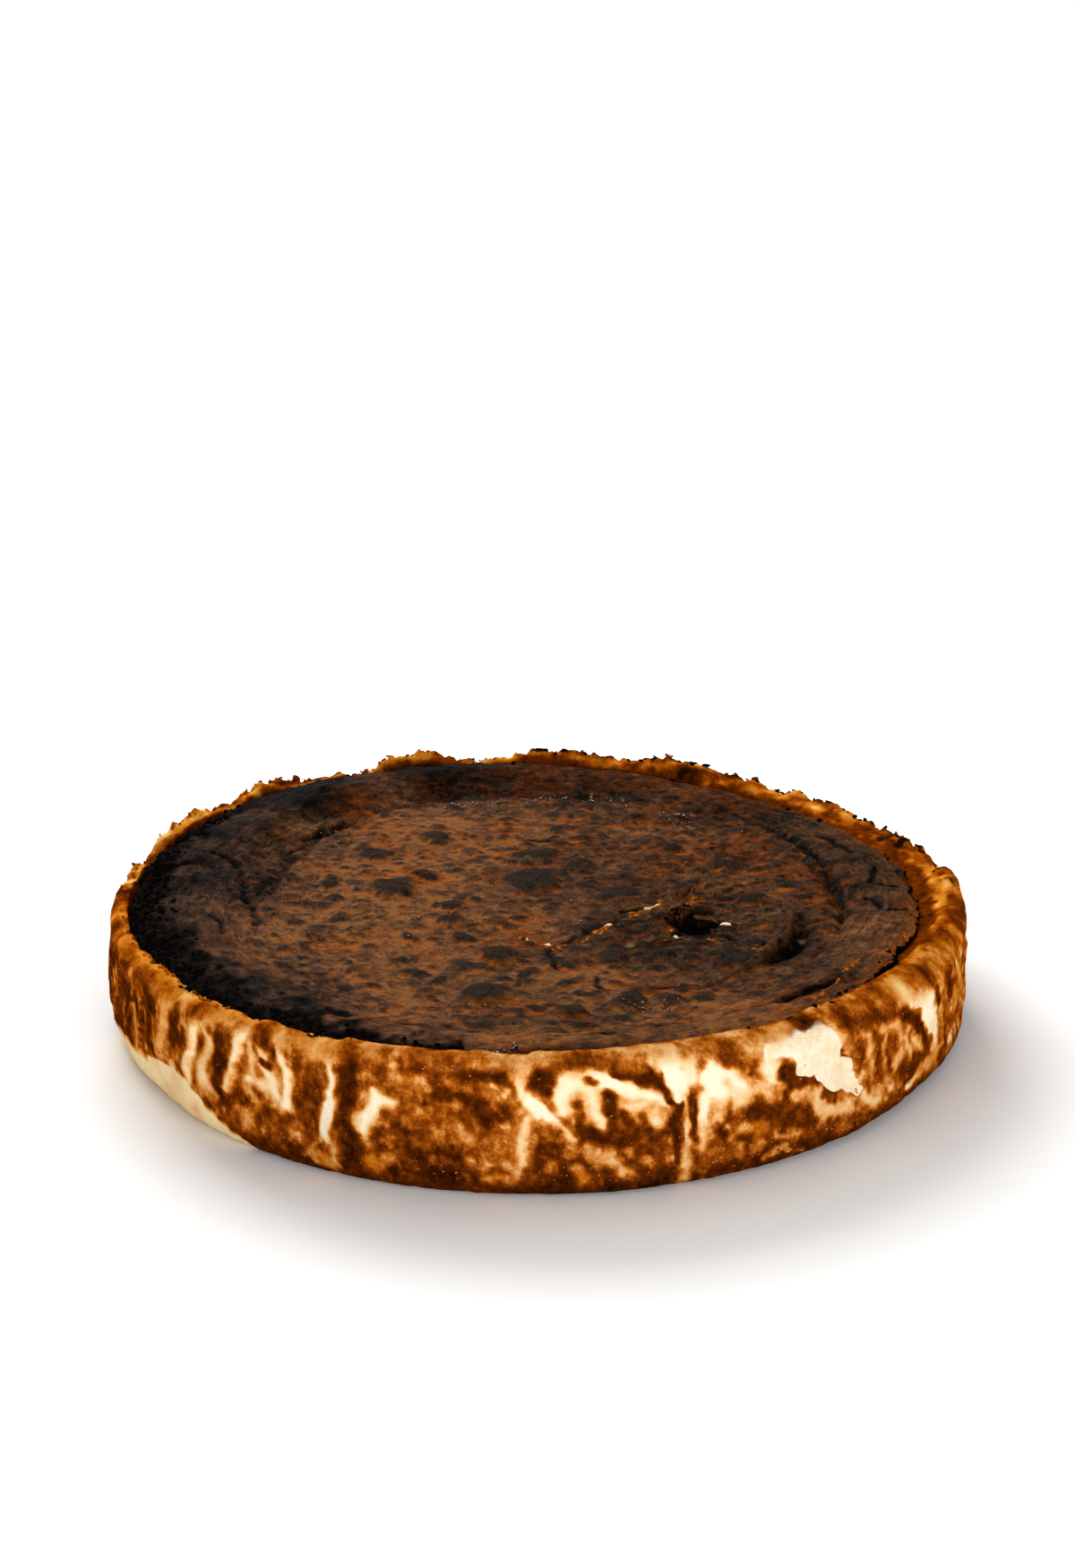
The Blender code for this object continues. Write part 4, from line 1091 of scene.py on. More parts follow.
def char_band(x, y):
    """How charred the skin is along its edge."""
    strength, inward = edge_band(x, y, CHAR_BAND)
    strength = np.clip(strength, 0.0, 1.0)
    ragged = flat_layers(x, y, (0.45, 7.0, 73), (0.3, 2.4, 74))
    return strength * ease(1.2 - inward / (mix(2.0, 19.0, strength**1.5) * MM) + ragged)


def soot_and_sheen_band(x, y):
    """The grey-black that fades in from the charred edge: dark soot, with a painted grey sheen laid over it
    through the blisters' field.
    """
    strength, inward = edge_band(x, y, CHAR_BAND)
    ragged = flat_layers(x, y, (0.35, 9.0, 98), (0.3, 3.0, 99))
    return np.clip(1.4 * strength - 0.35, 0.0, 1.0) * ease(1.15 - inward / (26.0 * MM) + ragged)


def edge_glow(x, y):
    """How much of the rim's orange the skin takes on towards its edge, from 0 to 1."""
    strength, inward = edge_band(x, y, EDGE_GLOW)
    ragged = flat_layers(x, y, (0.4, 6.0, 103), (0.25, 2.2, 104))
    return np.clip(strength, 0.0, 1.0) * ease(1.1 - inward / (7.0 * MM) + ragged)


def tear_marks(x, y):
    """Where cream, orange custard or a pale dot shows through the skin."""
    ragged, patchy = 0.3 * flat_lumps(x, y, 1.8, 75), 0.8 * flat_lumps(x, y, 5.0, 90)
    pale = raw = dots = np.zeros(np.shape(x))
    for start_x, start_y, end_x, end_y, half in PALE_TEARS:
        middle = ((start_x + end_x) / 2, (start_y + end_y) / 2)
        gap = np.abs(bow(((start_x, start_y), middle, (end_x, end_y)), x, y)[0])
        pale = np.maximum(pale, ease(1.2 - 0.7 * gap / (half * MM) - ragged))
    for *line, width in RAW_TEARS:
        gap = np.abs(bow(line, x, y)[0])
        raw = np.maximum(raw, ease(1.1 - gap / (width * MM) - 1.5 * ragged + patchy))
    for across, deep, radius in TAN_DOTS:
        reach = np.hypot(x - across * MM, y - deep * MM) / (radius * MM)
        dots = np.maximum(dots, ease((1.1 - reach) / 0.3))
    return pale, raw, dots


def rust_tones(x, y):
    """How orange the brown of the skin is, from 0 to 1."""
    return washes(x, y, 0.25, SKIN_RUST, 0.9) + flat_layers(x, y, (0.35, 12.0, 85), (0.3, 5.0, 86))


def scorched_gap(x, y):
    """Distance from the middle of the burnt ground round the torn hole, 1 at its edge."""
    ground = np.hypot((x - SCORCH_CENTRE[0]) / SCORCH_HALF_WIDTH, (y - SCORCH_CENTRE[1]) / SCORCH_HALF_LENGTH)
    return np.minimum(ground + 0.35 * flat_lumps(x, y, 4.0, 10), hole_gap(x, y)[0])


def build_skin(size, material):
    rings, shown = skin_outline(size)
    centre = float(fine_skin_height(np.zeros(1), np.zeros(1))[0])
    points, faces, row = join_rings(rings, (0.0, 0.0, centre), (0.0, 0.0, SKIN_UNDERSIDE))
    skin = new_piece("burnt_skin", points, faces, material)
    x, y = points[:, 0], points[:, 1]
    # The cracks, the crease beside the thick wrinkle and the fold round the dish are darkened in the colour:
    # painted shade in them
    cut = np.maximum(0.25 * large_cracks(x, y)[1], fine_cracks(x, y)[1])
    cut = np.maximum(cut, np.maximum(wrinkle_relief(x, y)[1], 0.65 * dish_crease(x, y)))
    pale, raw, dots = tear_marks(x, y)
    glow, soot_and_sheen = edge_glow(x, y), soot_and_sheen_band(x, y)
    # The sooty band darkens the warmth and takes the blisters' painted grey sheen
    write_fields(
        skin, warmth=mix(skin_tones(x, y), 1.0, 0.6 * glow) - 0.12 * soot_and_sheen,
        rust=mix(rust_tones(x, y), 1.1, glow), blister=np.maximum(all_blisters(x, y), 0.4 * soot_and_sheen),
        drawn=mix(0.25, 0.7, on_shoulder(x, y)), valley=valleys(x, y), raw=raw, cut=cut,
        char=np.maximum(char_band(x, y), 0.75 * (row >= shown)),
        torn=ease((1.05 - scorched_gap(x, y)) / 0.2), pale=pale, dots=dots)
    return skin


def flap_points(across, deep, turn, length, width, lift):
    """Grid of points of one curled bit of skin, its root first."""
    rows, columns = 18, 9
    along = np.linspace(0.0, 1.0, rows)[:, None] * np.ones((1, columns))
    wide = np.linspace(-1.0, 1.0, columns)[None, :] * np.ones((rows, 1))
    edge = 1.0 + 0.22 * np.sin(11.0 * along + across) + 0.12 * np.sin(23.0 * along - deep)
    spread = (1.0 - along**2.2) ** 0.6 * edge * mix(0.75, 1.0, along) + 0.04
    forward = length * MM * along
    aside = width * MM / 2 * wide * spread
    angle = math.radians(turn)
    x = across * MM + forward * math.cos(angle) - aside * math.sin(angle)
    y = deep * MM + forward * math.sin(angle) + aside * math.cos(angle)
    root = float(skin_height(np.array([across * MM]), np.array([deep * MM]))[0])
    rise = lift * MM * (along**1.5 + 0.5 * along * wide**2) - 0.9 * MM * (1.0 - along) ** 3
    return x, y, root + rise + 0.6 * MM * flat_lumps(x, y, 3.0, 81) * along


def build_flaps(material):
    points, faces = [], []
    for spec in FLAPS:
        grid = np.stack(flap_points(*spec), -1)
        rows, columns = grid.shape[:2]
        start = len(points)
        points.extend(grid.reshape(-1, 3).tolist())
        for row in range(rows - 1):
            for column in range(columns - 1):
                corner = start + row * columns + column
                faces.append([corner + 1, corner + columns + 1, corner + columns, corner])
    flaps = new_piece("torn_flaps", points, faces, material)
    sheet = flaps.modifiers.new("thickness", "SOLIDIFY")
    sheet.thickness = FLAP_THICKNESS
    sheet.offset = 0.0
    mesh = evaluated_mesh(flaps)
    flaps.modifiers.clear()
    flaps.data = mesh
    return flaps


def build_rope(material):
    """The thick wrinkle, a fold of skin standing up in a bow, tapered into the skin at both ends."""
    share = np.linspace(0.0, len(ROPE) - 1.0, ROPE_ROWS)
    evened = np.ones(2 * ROPE_EVENING + 1) / (2 * ROPE_EVENING + 1)
    x, y, half, tall = (
        np.convolve(np.pad(np.interp(share, np.arange(len(ROPE)), row), ROPE_EVENING, "edge"), evened, "valid")
        for row in np.array(ROPE).T)
    ahead = np.stack([np.gradient(x), np.gradient(y)])
    ahead /= np.hypot(*ahead)
    base = skin_height(x * MM, y * MM) / MM
    turn = np.arange(ROPE_POINTS) * 2 * np.pi / ROPE_POINTS
    rings = []
    for row in range(ROPE_ROWS):
        wide, up = half[row] * np.cos(turn), np.maximum(tall[row] * np.sin(turn), -0.8)
        middle = np.array([[x[row]], [y[row]], [base[row]]])
        out = np.stack([-ahead[1][row] * wide, ahead[0][row] * wide, up])
        swell = 1.0 + layers((middle + out) * MM, (0.3, 3.2, 87), (0.22, 1.3, 88))
        rings.append((middle + out * swell) * MM)
    ends = [(x[row] * MM, y[row] * MM, (base[row] - 0.2) * MM) for row in (0, -1)]
    points, faces, _ = join_rings(rings, *ends)
    corners = points[[face[:3] for face in faces]]
    if np.linalg.det(corners).sum() < 0.0:
        faces = [face[::-1] for face in faces]
    rope = new_piece("thick_wrinkle", points, faces, material)
    write_fields(rope, warmth=0.60 + 0.1 * lumps(points.T, 4.0 * MM, 89), blister=0.2)
    return rope


class Recipe:
    """The nodes of one surface, laid one after another."""

    def __init__(self, name):
        self.material = bpy.data.materials.new(name)
        self.material.use_nodes = True
        tree = self.material.node_tree
        self.nodes, self.links = tree.nodes, tree.links
        self.shader = self.nodes["Principled BSDF"]
        self.place = self.nodes.new("ShaderNodeTexCoord").outputs["Object"]

    def feed(self, socket, value):
        """Joins a socket to another, or sets its value."""
        if isinstance(value, bpy.types.NodeSocket):
            self.links.new(value, socket)
        elif socket.type == "RGBA":
            socket.default_value = (*value[:3], 1.0)
        else:
            socket.default_value = value

    def lay(self, kind, inputs, **settings):
        """A new node with its settings, fed by the name or number of each input."""
        node = self.nodes.new("ShaderNode" + kind)
        for name, value in settings.items():
            setattr(node, name, value)
        for key, value in inputs.items():
            self.feed(node.inputs[key], value)
        return node

    def coat(self, inputs):
        """Feeds the shader by the names of its inputs."""
        for name, value in inputs.items():
            self.feed(self.shader.inputs[name], value)

    def fields(self, *names):
        """The numbers stored under these names for each point."""
        return [self.lay("Attribute", {}, attribute_name=name).outputs["Fac"] for name in names]

    def grain(self, size, seed, detail=3.0, place=None):
        """Noise from about 0 to 1 with lumps of that size in millimetres."""
        return self.lay("TexNoise", {
            "Vector": place or self.place, "W": seed, "Scale": 1.0 / (size * MM), "Detail": detail,
            "Roughness": 0.55}, noise_dimensions="4D").outputs["Fac"]

    def pits(self, size, seed):
        """Distance to the nearest of scattered points, 0 at each."""
        return self.lay("TexVoronoi", {"Vector": self.place, "W": seed, "Scale": 1.0 / (size * MM)},
                        voronoi_dimensions="4D").outputs["Distance"]

    def sum(self, *terms):
        """Adds terms, each a socket or a (socket, factor) pair or a number."""
        total = None
        for term in terms:
            value, factor = term if isinstance(term, tuple) else (term, 1.0)
            if total is None:
                total = self.maths("MULTIPLY", value, factor)
            else:
                total = self.maths("MULTIPLY_ADD", value, factor, total)
        return total

    def maths(self, operation, *values):
        return self.lay("Math", dict(enumerate(values)), operation=operation).outputs[0]

    def vector_maths(self, operation, *values):
        return self.lay("VectorMath", dict(enumerate(values)), operation=operation).outputs

    def times(self, first, second):
        return self.maths("MULTIPLY", first, second)

    def step(self, value, low, high, most=1.0):
        """0 below low and most above high, with soft turns."""
        return self.lay("MapRange", {"Value": value, "From Min": low, "From Max": high, "To Max": most},
                        interpolation_type="SMOOTHSTEP").outputs["Result"]

    def tones(self, value, *stops):
        """Colours by value, from (place, colour) stops."""
        node = self.lay("ValToRGB", {"Fac": value})
        ramp = node.color_ramp
        while len(ramp.elements) < len(stops):
            ramp.elements.new(1.0)
        for element, (place, colour) in zip(ramp.elements, stops):
            element.position = place
            element.color = (*colour[:3], 1.0)
        return node.outputs["Color"]

    def blend(self, share, first, second):
        """The first colour where the share is 0, the second where it is 1."""
        node = self.lay("Mix", {0: share}, data_type="RGBA")
        for socket, value in zip((one for one in node.inputs if one.type == "RGBA"), (first, second)):
            self.feed(socket, value)
        return [one for one in node.outputs if one.type == "RGBA"][0]

    def stretched(self, *factors):
        """Coordinates in which the noise is drawn out along an axis whose factor is small."""
        return self.vector_maths("MULTIPLY", self.place, factors)[0]

    def polar(self, across, along):
        """Coordinates in which the noise is drawn out round the cake."""
        flat = self.stretched(1.0, 1.0, 0.0)
        length = self.vector_maths("LENGTH", flat)["Value"]
        parts = self.lay("SeparateXYZ", {0: self.vector_maths("NORMALIZE", flat)[0]}).outputs
        return self.lay("CombineXYZ", {
            0: self.times(length, across), 1: self.times(parts[0], along),
            2: self.times(parts[1], along)}).outputs[0]

    def bump(self, height, depth):
        """Raises the surface by height times depth in millimetres."""
        self.coat({"Normal": self.lay("Bump", {"Distance": depth * MM, "Height": height}).outputs["Normal"]})


def srgb(red, green, blue):
    """A colour in Blender's linear light, from 0 to 255 as a paint chart gives it."""
    return tuple((part / 255.0 / 12.92) if part < 11 else ((part / 255.0 + 0.055) / 1.055) ** 2.4
                 for part in (red, green, blue))


def crust_material(colours):
    """The side and the rim: cream to dark brown by tone, more orange where it is amber."""
    crust = Recipe("baked_crust")
    tone, amber, burnt, bare = crust.fields("tone", "amber", "burnt", "bare")
    blotch, mottle, fine = crust.grain(4.5, 1.0), crust.grain(2.0, 2.0), crust.grain(0.7, 3.0, 2.0)
    browned = crust.step(tone, 0.08, 0.5)
    streak = crust.grain(2.2, 4.0, 3.0, crust.stretched(1.0, 1.0, 0.5))
    uneven = crust.sum((blotch, 0.6), (mottle, 0.55), (fine, 0.25), (streak, 0.35), -0.875)
    value = crust.maths("MULTIPLY_ADD", uneven, crust.sum((browned, 0.8), 0.16), tone)
    cream_side = crust.tones(
        value, (0.05, colours.cream), (0.17, colours.pale), (0.30, colours.peach), (0.43, colours.tan),
        (0.57, colours.brown), (0.76, colours.dark_brown), (1.0, colours.burnt))
    amber_side = crust.tones(
        value, (0.0, colours.butter), (0.24, colours.honey), (0.46, colours.amber),
        (0.66, colours.rust), (0.84, colours.dark_brown), (1.0, colours.burnt))
    colour = crust.blend(amber, cream_side, amber_side)
    exposed = crust.step(crust.sum(bare, (mottle, 0.3), (fine, 0.2), -0.25), 0.26, 0.7)
    custard = crust.tones(crust.sum((blotch, 0.6), (mottle, 0.4)), (0.38, colours.pale), (0.56, colours.cream))
    colour = crust.blend(exposed, colour, custard)
    soot = crust.step(crust.sum(burnt, (mottle, 0.9), (fine, 0.4), -0.65), 0.2, 0.5)
    crust.coat({
        "Base Color": crust.blend(soot, colour, colours.soot),
        "Roughness": crust.sum((browned, -0.12), (mottle, 0.3), 0.45),
        "Specular IOR Level": 0.0, "Subsurface Weight": 0.12,
        "Subsurface Radius": (1.0, 0.5, 0.25), "Subsurface Scale": 2.5 * MM})
    specks = crust.step(crust.pits(1.1, 5.0), 0.0, 0.35)
    crust.bump(crust.sum((mottle, 0.7), (fine, 0.6), (specks, 0.35), (crust.times(browned, fine), 0.5)), 0.6)
    return crust.material


def skin_material(colours):
    """The burnt skin: dark blisters over warm brown, black where it is charred."""
    skin = Recipe("baked_skin")
    warmth, blister, cut, rust, valley, raw, charred, torn, pale, dots, wrinkly = skin.fields(
        "warmth", "blister", "cut", "rust", "valley", "raw", "char", "torn", "pale", "dots", "drawn")
    blotch, mottle, fine = skin.grain(5.0, 11.0), skin.grain(1.8, 12.0), skin.grain(0.6, 13.0, 2.0)
    drawn = skin.grain(1.0, 14.0, 3.0, skin.polar(1 / 1.5, 0.016))
    dashes = skin.step(skin.grain(1.0, 16.0, 2.0, skin.polar(1 / 1.1, 0.026)), 0.58, 0.68)
    wrinkled = skin.times(wrinkly, skin.sum(drawn, -0.5))
    # Darker in the cracks and creases: painted shade
    value = skin.sum(warmth, (blotch, 0.75), (mottle, 0.8), (fine, 0.5), (wrinkled, 1.0), -1.02, (cut, -0.7))
    # The hollows in front of the blisters are made lighter and more orange: partly caramelised skin, partly
    # painted light
    value = skin.sum(value, (dashes, -0.2), (blister, -0.36), (valley, 0.22))
    grey_side = skin.tones(
        value, (0.0, colours.char), (0.2, colours.coal), (0.45, colours.cocoa),
        (0.72, colours.russet), (1.0, colours.glow))
    orange_side = skin.tones(
        value, (0.0, colours.char), (0.2, colours.ember), (0.45, colours.umber),
        (0.75, colours.sienna), (1.0, colours.ochre))
    orange = skin.step(skin.sum(rust, (valley, 0.6), (blotch, 0.8), (mottle, 0.5), -0.72), 0.1, 1.0)
    colour = skin.blend(orange, grey_side, orange_side)
    # The tops of the blisters are laid in a lighter grey: their own dark burnt colour with a painted sheen
    spot = skin.step(skin.sum(blister, (mottle, 0.6), (fine, 0.3), -0.45), 0.3, 0.85)
    even = skin.sum((mottle, 0.5), (fine, 0.5))
    top = skin.tones(even, (0.36, colours.coal), (0.60, colours.blister))
    colour = skin.blend(skin.times(spot, 0.85), colour, top)
    black = skin.step(skin.sum(charred, (mottle, 0.8), (drawn, 0.3), -0.55), 0.15, 0.75)
    colour = skin.blend(black, colour, skin.tones(even, (0.48, colours.char), (0.66, colours.coal)))
    flesh = skin.tones(
        skin.grain(1.1, 17.0), (0.36, colours.ember), (0.48, colours.sienna), (0.58, colours.amber),
        (0.68, colours.honey))
    colour = skin.blend(skin.step(skin.sum(raw, (mottle, 0.5), (fine, 0.4), -0.45), 0.35, 0.7), colour, flesh)
    crumb = skin.tones(skin.grain(0.9, 15.0), (0.45, colours.char), (0.64, colours.soot), (0.74, colours.rust))
    colour = skin.blend(dots, skin.blend(torn, colour, crumb), colours.tan_dot)
    cream = skin.step(skin.sum(pale, (mottle, 0.6), (fine, 0.5), -0.55), 0.5, 0.6)
    skin.coat({
        "Base Color": skin.blend(cream, colour, colours.pale),
        "Roughness": skin.sum((mottle, 0.25), (black, 0.15), (spot, 0.08), 0.42),
        "Specular IOR Level": 0.005, "Specular Tint": (1.0, 0.78, 0.55)})
    skin.bump(skin.sum((mottle, 0.8), (fine, 0.7), (wrinkled, 1.4), (blotch, 0.3), (dashes, -0.5)), 0.9)
    return skin.material


def scatter_tree(name):
    """A tree that puts a small uneven lump at every point of the mesh it is given."""
    tree = bpy.data.node_groups.new(name, "GeometryNodeTree")
    identifiers = {}
    for label in ("Geometry", "Size", "Unevenness", "Fineness", "Seed", "Material"):
        kind = {"Geometry": "Geometry", "Fineness": "Int", "Material": "Material"}.get(label, "Float")
        socket = tree.interface.new_socket(name=label, in_out="INPUT", socket_type="NodeSocket" + kind)
        identifiers[label] = socket.identifier
    tree.interface.new_socket(name="Geometry", in_out="OUTPUT", socket_type="NodeSocketGeometry")
    nodes = {label: tree.nodes.new(kind) for label, kind in (
        ("given", "NodeGroupInput"), ("result", "NodeGroupOutput"), ("lump", "GeometryNodeMeshIcoSphere"),
        ("copies", "GeometryNodeInstanceOnPoints"), ("turn", "FunctionNodeEulerToRotation"),
        ("turns", "GeometryNodeInputNamedAttribute"), ("sizes", "GeometryNodeInputNamedAttribute"),
        ("grow", "ShaderNodeVectorMath"), ("real", "GeometryNodeRealizeInstances"),
        ("shift", "GeometryNodeSetPosition"), ("place", "GeometryNodeInputPosition"),
        ("noise", "ShaderNodeTexNoise"), ("centre", "ShaderNodeVectorMath"), ("reach", "ShaderNodeVectorMath"),
        ("over", "ShaderNodeMath"), ("amount", "ShaderNodeMath"), ("smooth", "GeometryNodeSetShadeSmooth"),
        ("coat", "GeometryNodeSetMaterial"))}
    for label, operation in (("grow", "SCALE"), ("centre", "SUBTRACT"), ("reach", "SCALE"),
                             ("over", "DIVIDE"), ("amount", "MULTIPLY")):
        nodes[label].operation = operation
    for label, field in (("turns", "turn"), ("sizes", "size")):
        nodes[label].data_type = "FLOAT_VECTOR"
        nodes[label].inputs["Name"].default_value = field
    nodes["noise"].noise_dimensions = "4D"
    for label, key, value in (("lump", "Radius", 0.5), ("over", 0, 1.1), ("centre", 1, (0.5, 0.5, 0.5)),
                              ("noise", "Detail", 2.0)):
        nodes[label].inputs[key].default_value = value
    for start, output, end, key in (
            ("given", "Fineness", "lump", "Subdivisions"), ("given", "Geometry", "copies", "Points"),
            ("lump", "Mesh", "copies", "Instance"), ("turns", "Attribute", "turn", 0),
            ("turn", 0, "copies", "Rotation"), ("sizes", "Attribute", "grow", 0),
            ("given", "Size", "grow", "Scale"), ("grow", 0, "copies", "Scale"), ("copies", 0, "real", 0),
            ("real", 0, "shift", "Geometry"),
            ("place", 0, "noise", "Vector"), ("given", "Seed", "noise", "W"), ("given", "Size", "over", 1),
            ("over", 0, "noise", "Scale"), ("noise", "Color", "centre", 0), ("given", "Size", "amount", 0),
            ("given", "Unevenness", "amount", 1), ("centre", 0, "reach", 0), ("amount", 0, "reach", "Scale"),
            ("reach", 0, "shift", "Offset"), ("shift", 0, "smooth", 0), ("smooth", 0, "coat", "Geometry"),
            ("given", "Material", "coat", "Material"), ("coat", 0, "result", 0)):
        tree.links.new(nodes[start].outputs[output], nodes[end].inputs[key])
    return tree, identifiers


def scatter(name, found, unevenness, seed, material, slot, **fields):
    """Puts small lumps at the places found, turned and sized as given, and settles them on the cake."""
    places, turns, sizes = (np.asarray(part) for part in found)
    anchors = new_piece(name + "_places", places, [], material)
    for label, values in (("turn", turns), ("size", sizes)):
        field = anchors.data.attributes.new(label, "FLOAT_VECTOR", "POINT")
        field.data.foreach_set("vector", values.astype(np.float32).ravel())
    write_fields(anchors, **fields)
    tree, identifiers = scatter_tree(name)
    modifier = anchors.modifiers.new("scatter", "NODES")
    modifier.node_group = tree
    settings = {"Size": MM, "Unevenness": unevenness, "Fineness": 2, "Seed": seed, "Material": material}
    for label, value in settings.items():
        modifier[identifiers[label]] = value
    mesh = evaluated_mesh(anchors)
    mesh.materials.clear()
    mesh.materials.append(material)
    mesh.polygons.foreach_set("material_index", [0] * len(mesh.polygons))
    piece = link(name, mesh)
    bpy.data.objects.remove(anchors)
    return settle(piece)


def lay_on_skin(draw, x, y, low, high, flat, lift):
    """Places, turns and sizes of lumps from low to high millimetres lying on the skin."""
    count = len(x)
    across = draw.uniform(low, high, count)
    sizes = in_rows(across * draw.uniform(0.7, 1.5, count), across * draw.uniform(0.6, 1.2, count),
                    across * draw.uniform(flat * 0.7, flat * 1.2, count))
    turns = in_rows(draw.normal(0.0, 0.4, count), draw.normal(0.0, 0.4, count),
                    draw.uniform(0.0, 2 * math.pi, count))
    return in_rows(x, y, fine_skin_height(x, y) + lift * across * MM), turns, sizes


def char_crumb_places():
    """Burnt crumbs along the skin's charred edge, most of them on the left, and in the torn hole."""
    draw = np.random.default_rng(101)
    bearing = np.concatenate([draw.uniform(238.0, 352.0, 520), draw.uniform(0.0, 360.0, 70)])
    inward = np.abs(draw.normal(0.0, 1.0, len(bearing))) * MM * np.interp(
        bearing, (0.0, 230.0, 270.0, 330.0, 360.0), (1.5, 1.5, 5.0, 3.5, 1.5))
    x, y = circle(torn_skin_edge(bearing) - 0.3 * MM - inward, bearing)
    turn, reach = draw.uniform(0.0, 2 * math.pi, 90), draw.uniform(0.0, 1.0, 90) ** 0.7
    x = np.concatenate([x, HOLE_CENTRE[0] + HOLE_HALF_WIDTH * reach * np.cos(turn)])
    y = np.concatenate([y, HOLE_CENTRE[1] + HOLE_HALF_LENGTH * reach * np.sin(turn)])
    return lay_on_skin(draw, x, y, 0.5, 1.9, 0.8, 0.1)


def caramel_places():
    """Glossy beads where juice boiled out: along the back fold, in small pools, and at the front edge."""
    draw = np.random.default_rng(102)
    rows = []
    for x_low, x_high, depth, spread, count, bend in CARAMEL_POOLS:
        x = draw.uniform(x_low, x_high, count)
        y = depth + draw.normal(0.0, spread, count)
        rows.append((x, y + bend * (3.0 * np.sin(x / 11.0) - 0.006 * x**2)))
    x, y = np.concatenate(rows, 1) * MM
    keep = np.hypot(x, y) < torn_skin_edge(bearing_of(x, y)) - 0.8 * MM
    return lay_on_skin(draw, x[keep], y[keep], 0.35, 1.1, 0.7, 0.15)


def side_places(draw, bearing, height, low, high, flat):
    """Places, turns and sizes of lumps that stick to the side."""
    count = len(bearing)
    across = draw.uniform(low, high, count)
    sizes = in_rows(
        across * draw.uniform(0.8, 1.6, count), across * flat, across * draw.uniform(0.7, 1.2, count))
    turns = in_rows(draw.normal(0.0, 0.2, count), draw.normal(0.0, 0.6, count), np.radians(bearing))
    return in_rows(*circle(wall_radius(bearing, height), bearing), height), turns, sizes


def speck_places():
    """Tiny glossy specks of caramel on the brown of the side."""
    draw = np.random.default_rng(103)
    bearing = np.concatenate([
        draw.uniform(-180.0, 180.0, 560), draw.normal(-9.0, 3.6, 34), draw.uniform(-40.0, 45.0, 170)])
    height = np.concatenate([
        draw.uniform(5.0, 37.0, 560), draw.normal(35.6, 1.6, 34), draw.uniform(2.5, 10.0, 170)]) * MM
    foot = around(EDGE_HEIGHT, bearing)
    height = np.clip(height, 0.6 * foot, HIGHEST_SPECK)
    keep = (browning(np.full(len(bearing), 0.7), bearing, height) > 0.5) & (height > foot)
    return side_places(draw, bearing[keep], height[keep], 0.25, 0.6, 0.6)


def flake_places():
    """Ragged bits along the rim's crest, with how burnt and how brown each is."""
    draw = np.random.default_rng(104)
    bearing = np.concatenate([draw.uniform(96.0, 264.0, 230), draw.uniform(262.0, 316.0, 60)])
    count = len(bearing)
    size = draw.uniform(0.7, 2.0, count)
    radius, height = rim(bearing, 1.0)
    x, y = circle(radius + draw.normal(0.1, 0.5, count) * MM, bearing)
    sizes = in_rows(
        *(size * draw.uniform(low, high, count) for low, high in ((1.0, 2.2), (0.35, 0.7), (0.5, 1.0))))
    turns = in_rows(draw.normal(0.0, 0.35, count), draw.normal(0.0, 0.5, count), np.radians(bearing))
    places = in_rows(x, y, height + draw.uniform(-0.5, 0.25, count) * MM)
    burn = curve_round(TIP_BURN, bearing) * draw.uniform(0.2, 1.6, count)
    return (places, turns, sizes), burn, draw.uniform(0.35, 0.75, count)


def pale_flake_places():
    """Pale flakes of custard: on the rim, below the bare place and along the base, with their tones."""
    draw = np.random.default_rng(105)
    rows = list(PALE_FLAKES)
    for _ in range(22):
        place = draw.uniform(15.0, 60.0)
        rows.append((place, draw.uniform(1.2, 4.0) + 0.07 * place, draw.uniform(0.6, 2.0), 0.6,
                     draw.uniform(0.4, 0.9)))
    bearing, height, long, thick, tall = np.array(rows).T
    height = height * MM
    edge, wall = around(EDGE_HEIGHT, bearing), wall_radius(bearing, height)
    lower = np.sin(np.arccos(np.clip(1.0 - height / edge, 0.0, 1.0)))
    radius = np.where(height < edge, mix(around(BASE_RADIUS, bearing), wall, lower),
                      np.where(height > HIGHEST_ON_SIDE, wall - 2.5 * MM, wall))
    turns = in_rows(0.0, draw.normal(0.0, 0.15, len(rows)), np.radians(bearing))
    tone = np.where(np.arange(len(rows)) < len(PALE_FLAKES), 0.34, draw.uniform(0.5, 0.9, len(rows)))
    return (in_rows(*circle(radius, bearing), height), turns, in_rows(long, thick, tall)), tone


def caramel_material(name, dark, light):
    bead = Recipe(name)
    bead.coat({"Base Color": bead.tones(bead.grain(1.5, 21.0), (0.4, dark), (0.65, light)),
               "Roughness": 0.16, "Specular IOR Level": 0.6})
    return bead.material


def length_property(name, description, default, least=0.0):
    return FloatProperty(
        name=name, description=description, default=default, min=least, subtype="DISTANCE", unit="LENGTH")


def rows_property(name, description, default):
    return IntProperty(name=name, description=description, default=default, min=2)


class CakeSizes(bpy.types.PropertyGroup):
    """How finely the cake is made."""

    segments: IntProperty(
        name="Segments", description="Points in a full ring; a multiple of 64", default=1088, min=64)
    edge_rows: rows_property("Edge rows", "Rows on the lower edge", 7)
    wall_rows: rows_property("Wall rows", "Rows on the side", 46)
    rim_rows: rows_property("Rim rows", "Rows over the rim", 9)
    ledge_rows: rows_property("Ledge rows", "Rows on the ledge", 13)
    skin_pitch: length_property("Skin pitch", "Distance between rings of the skin", 0.9 * MM, 0.3 * MM)


def colour_property(name, description, *parts):
    return FloatVectorProperty(
        name=name, description=description, default=srgb(*parts), subtype="COLOR", size=3, min=0.0, max=1.0)


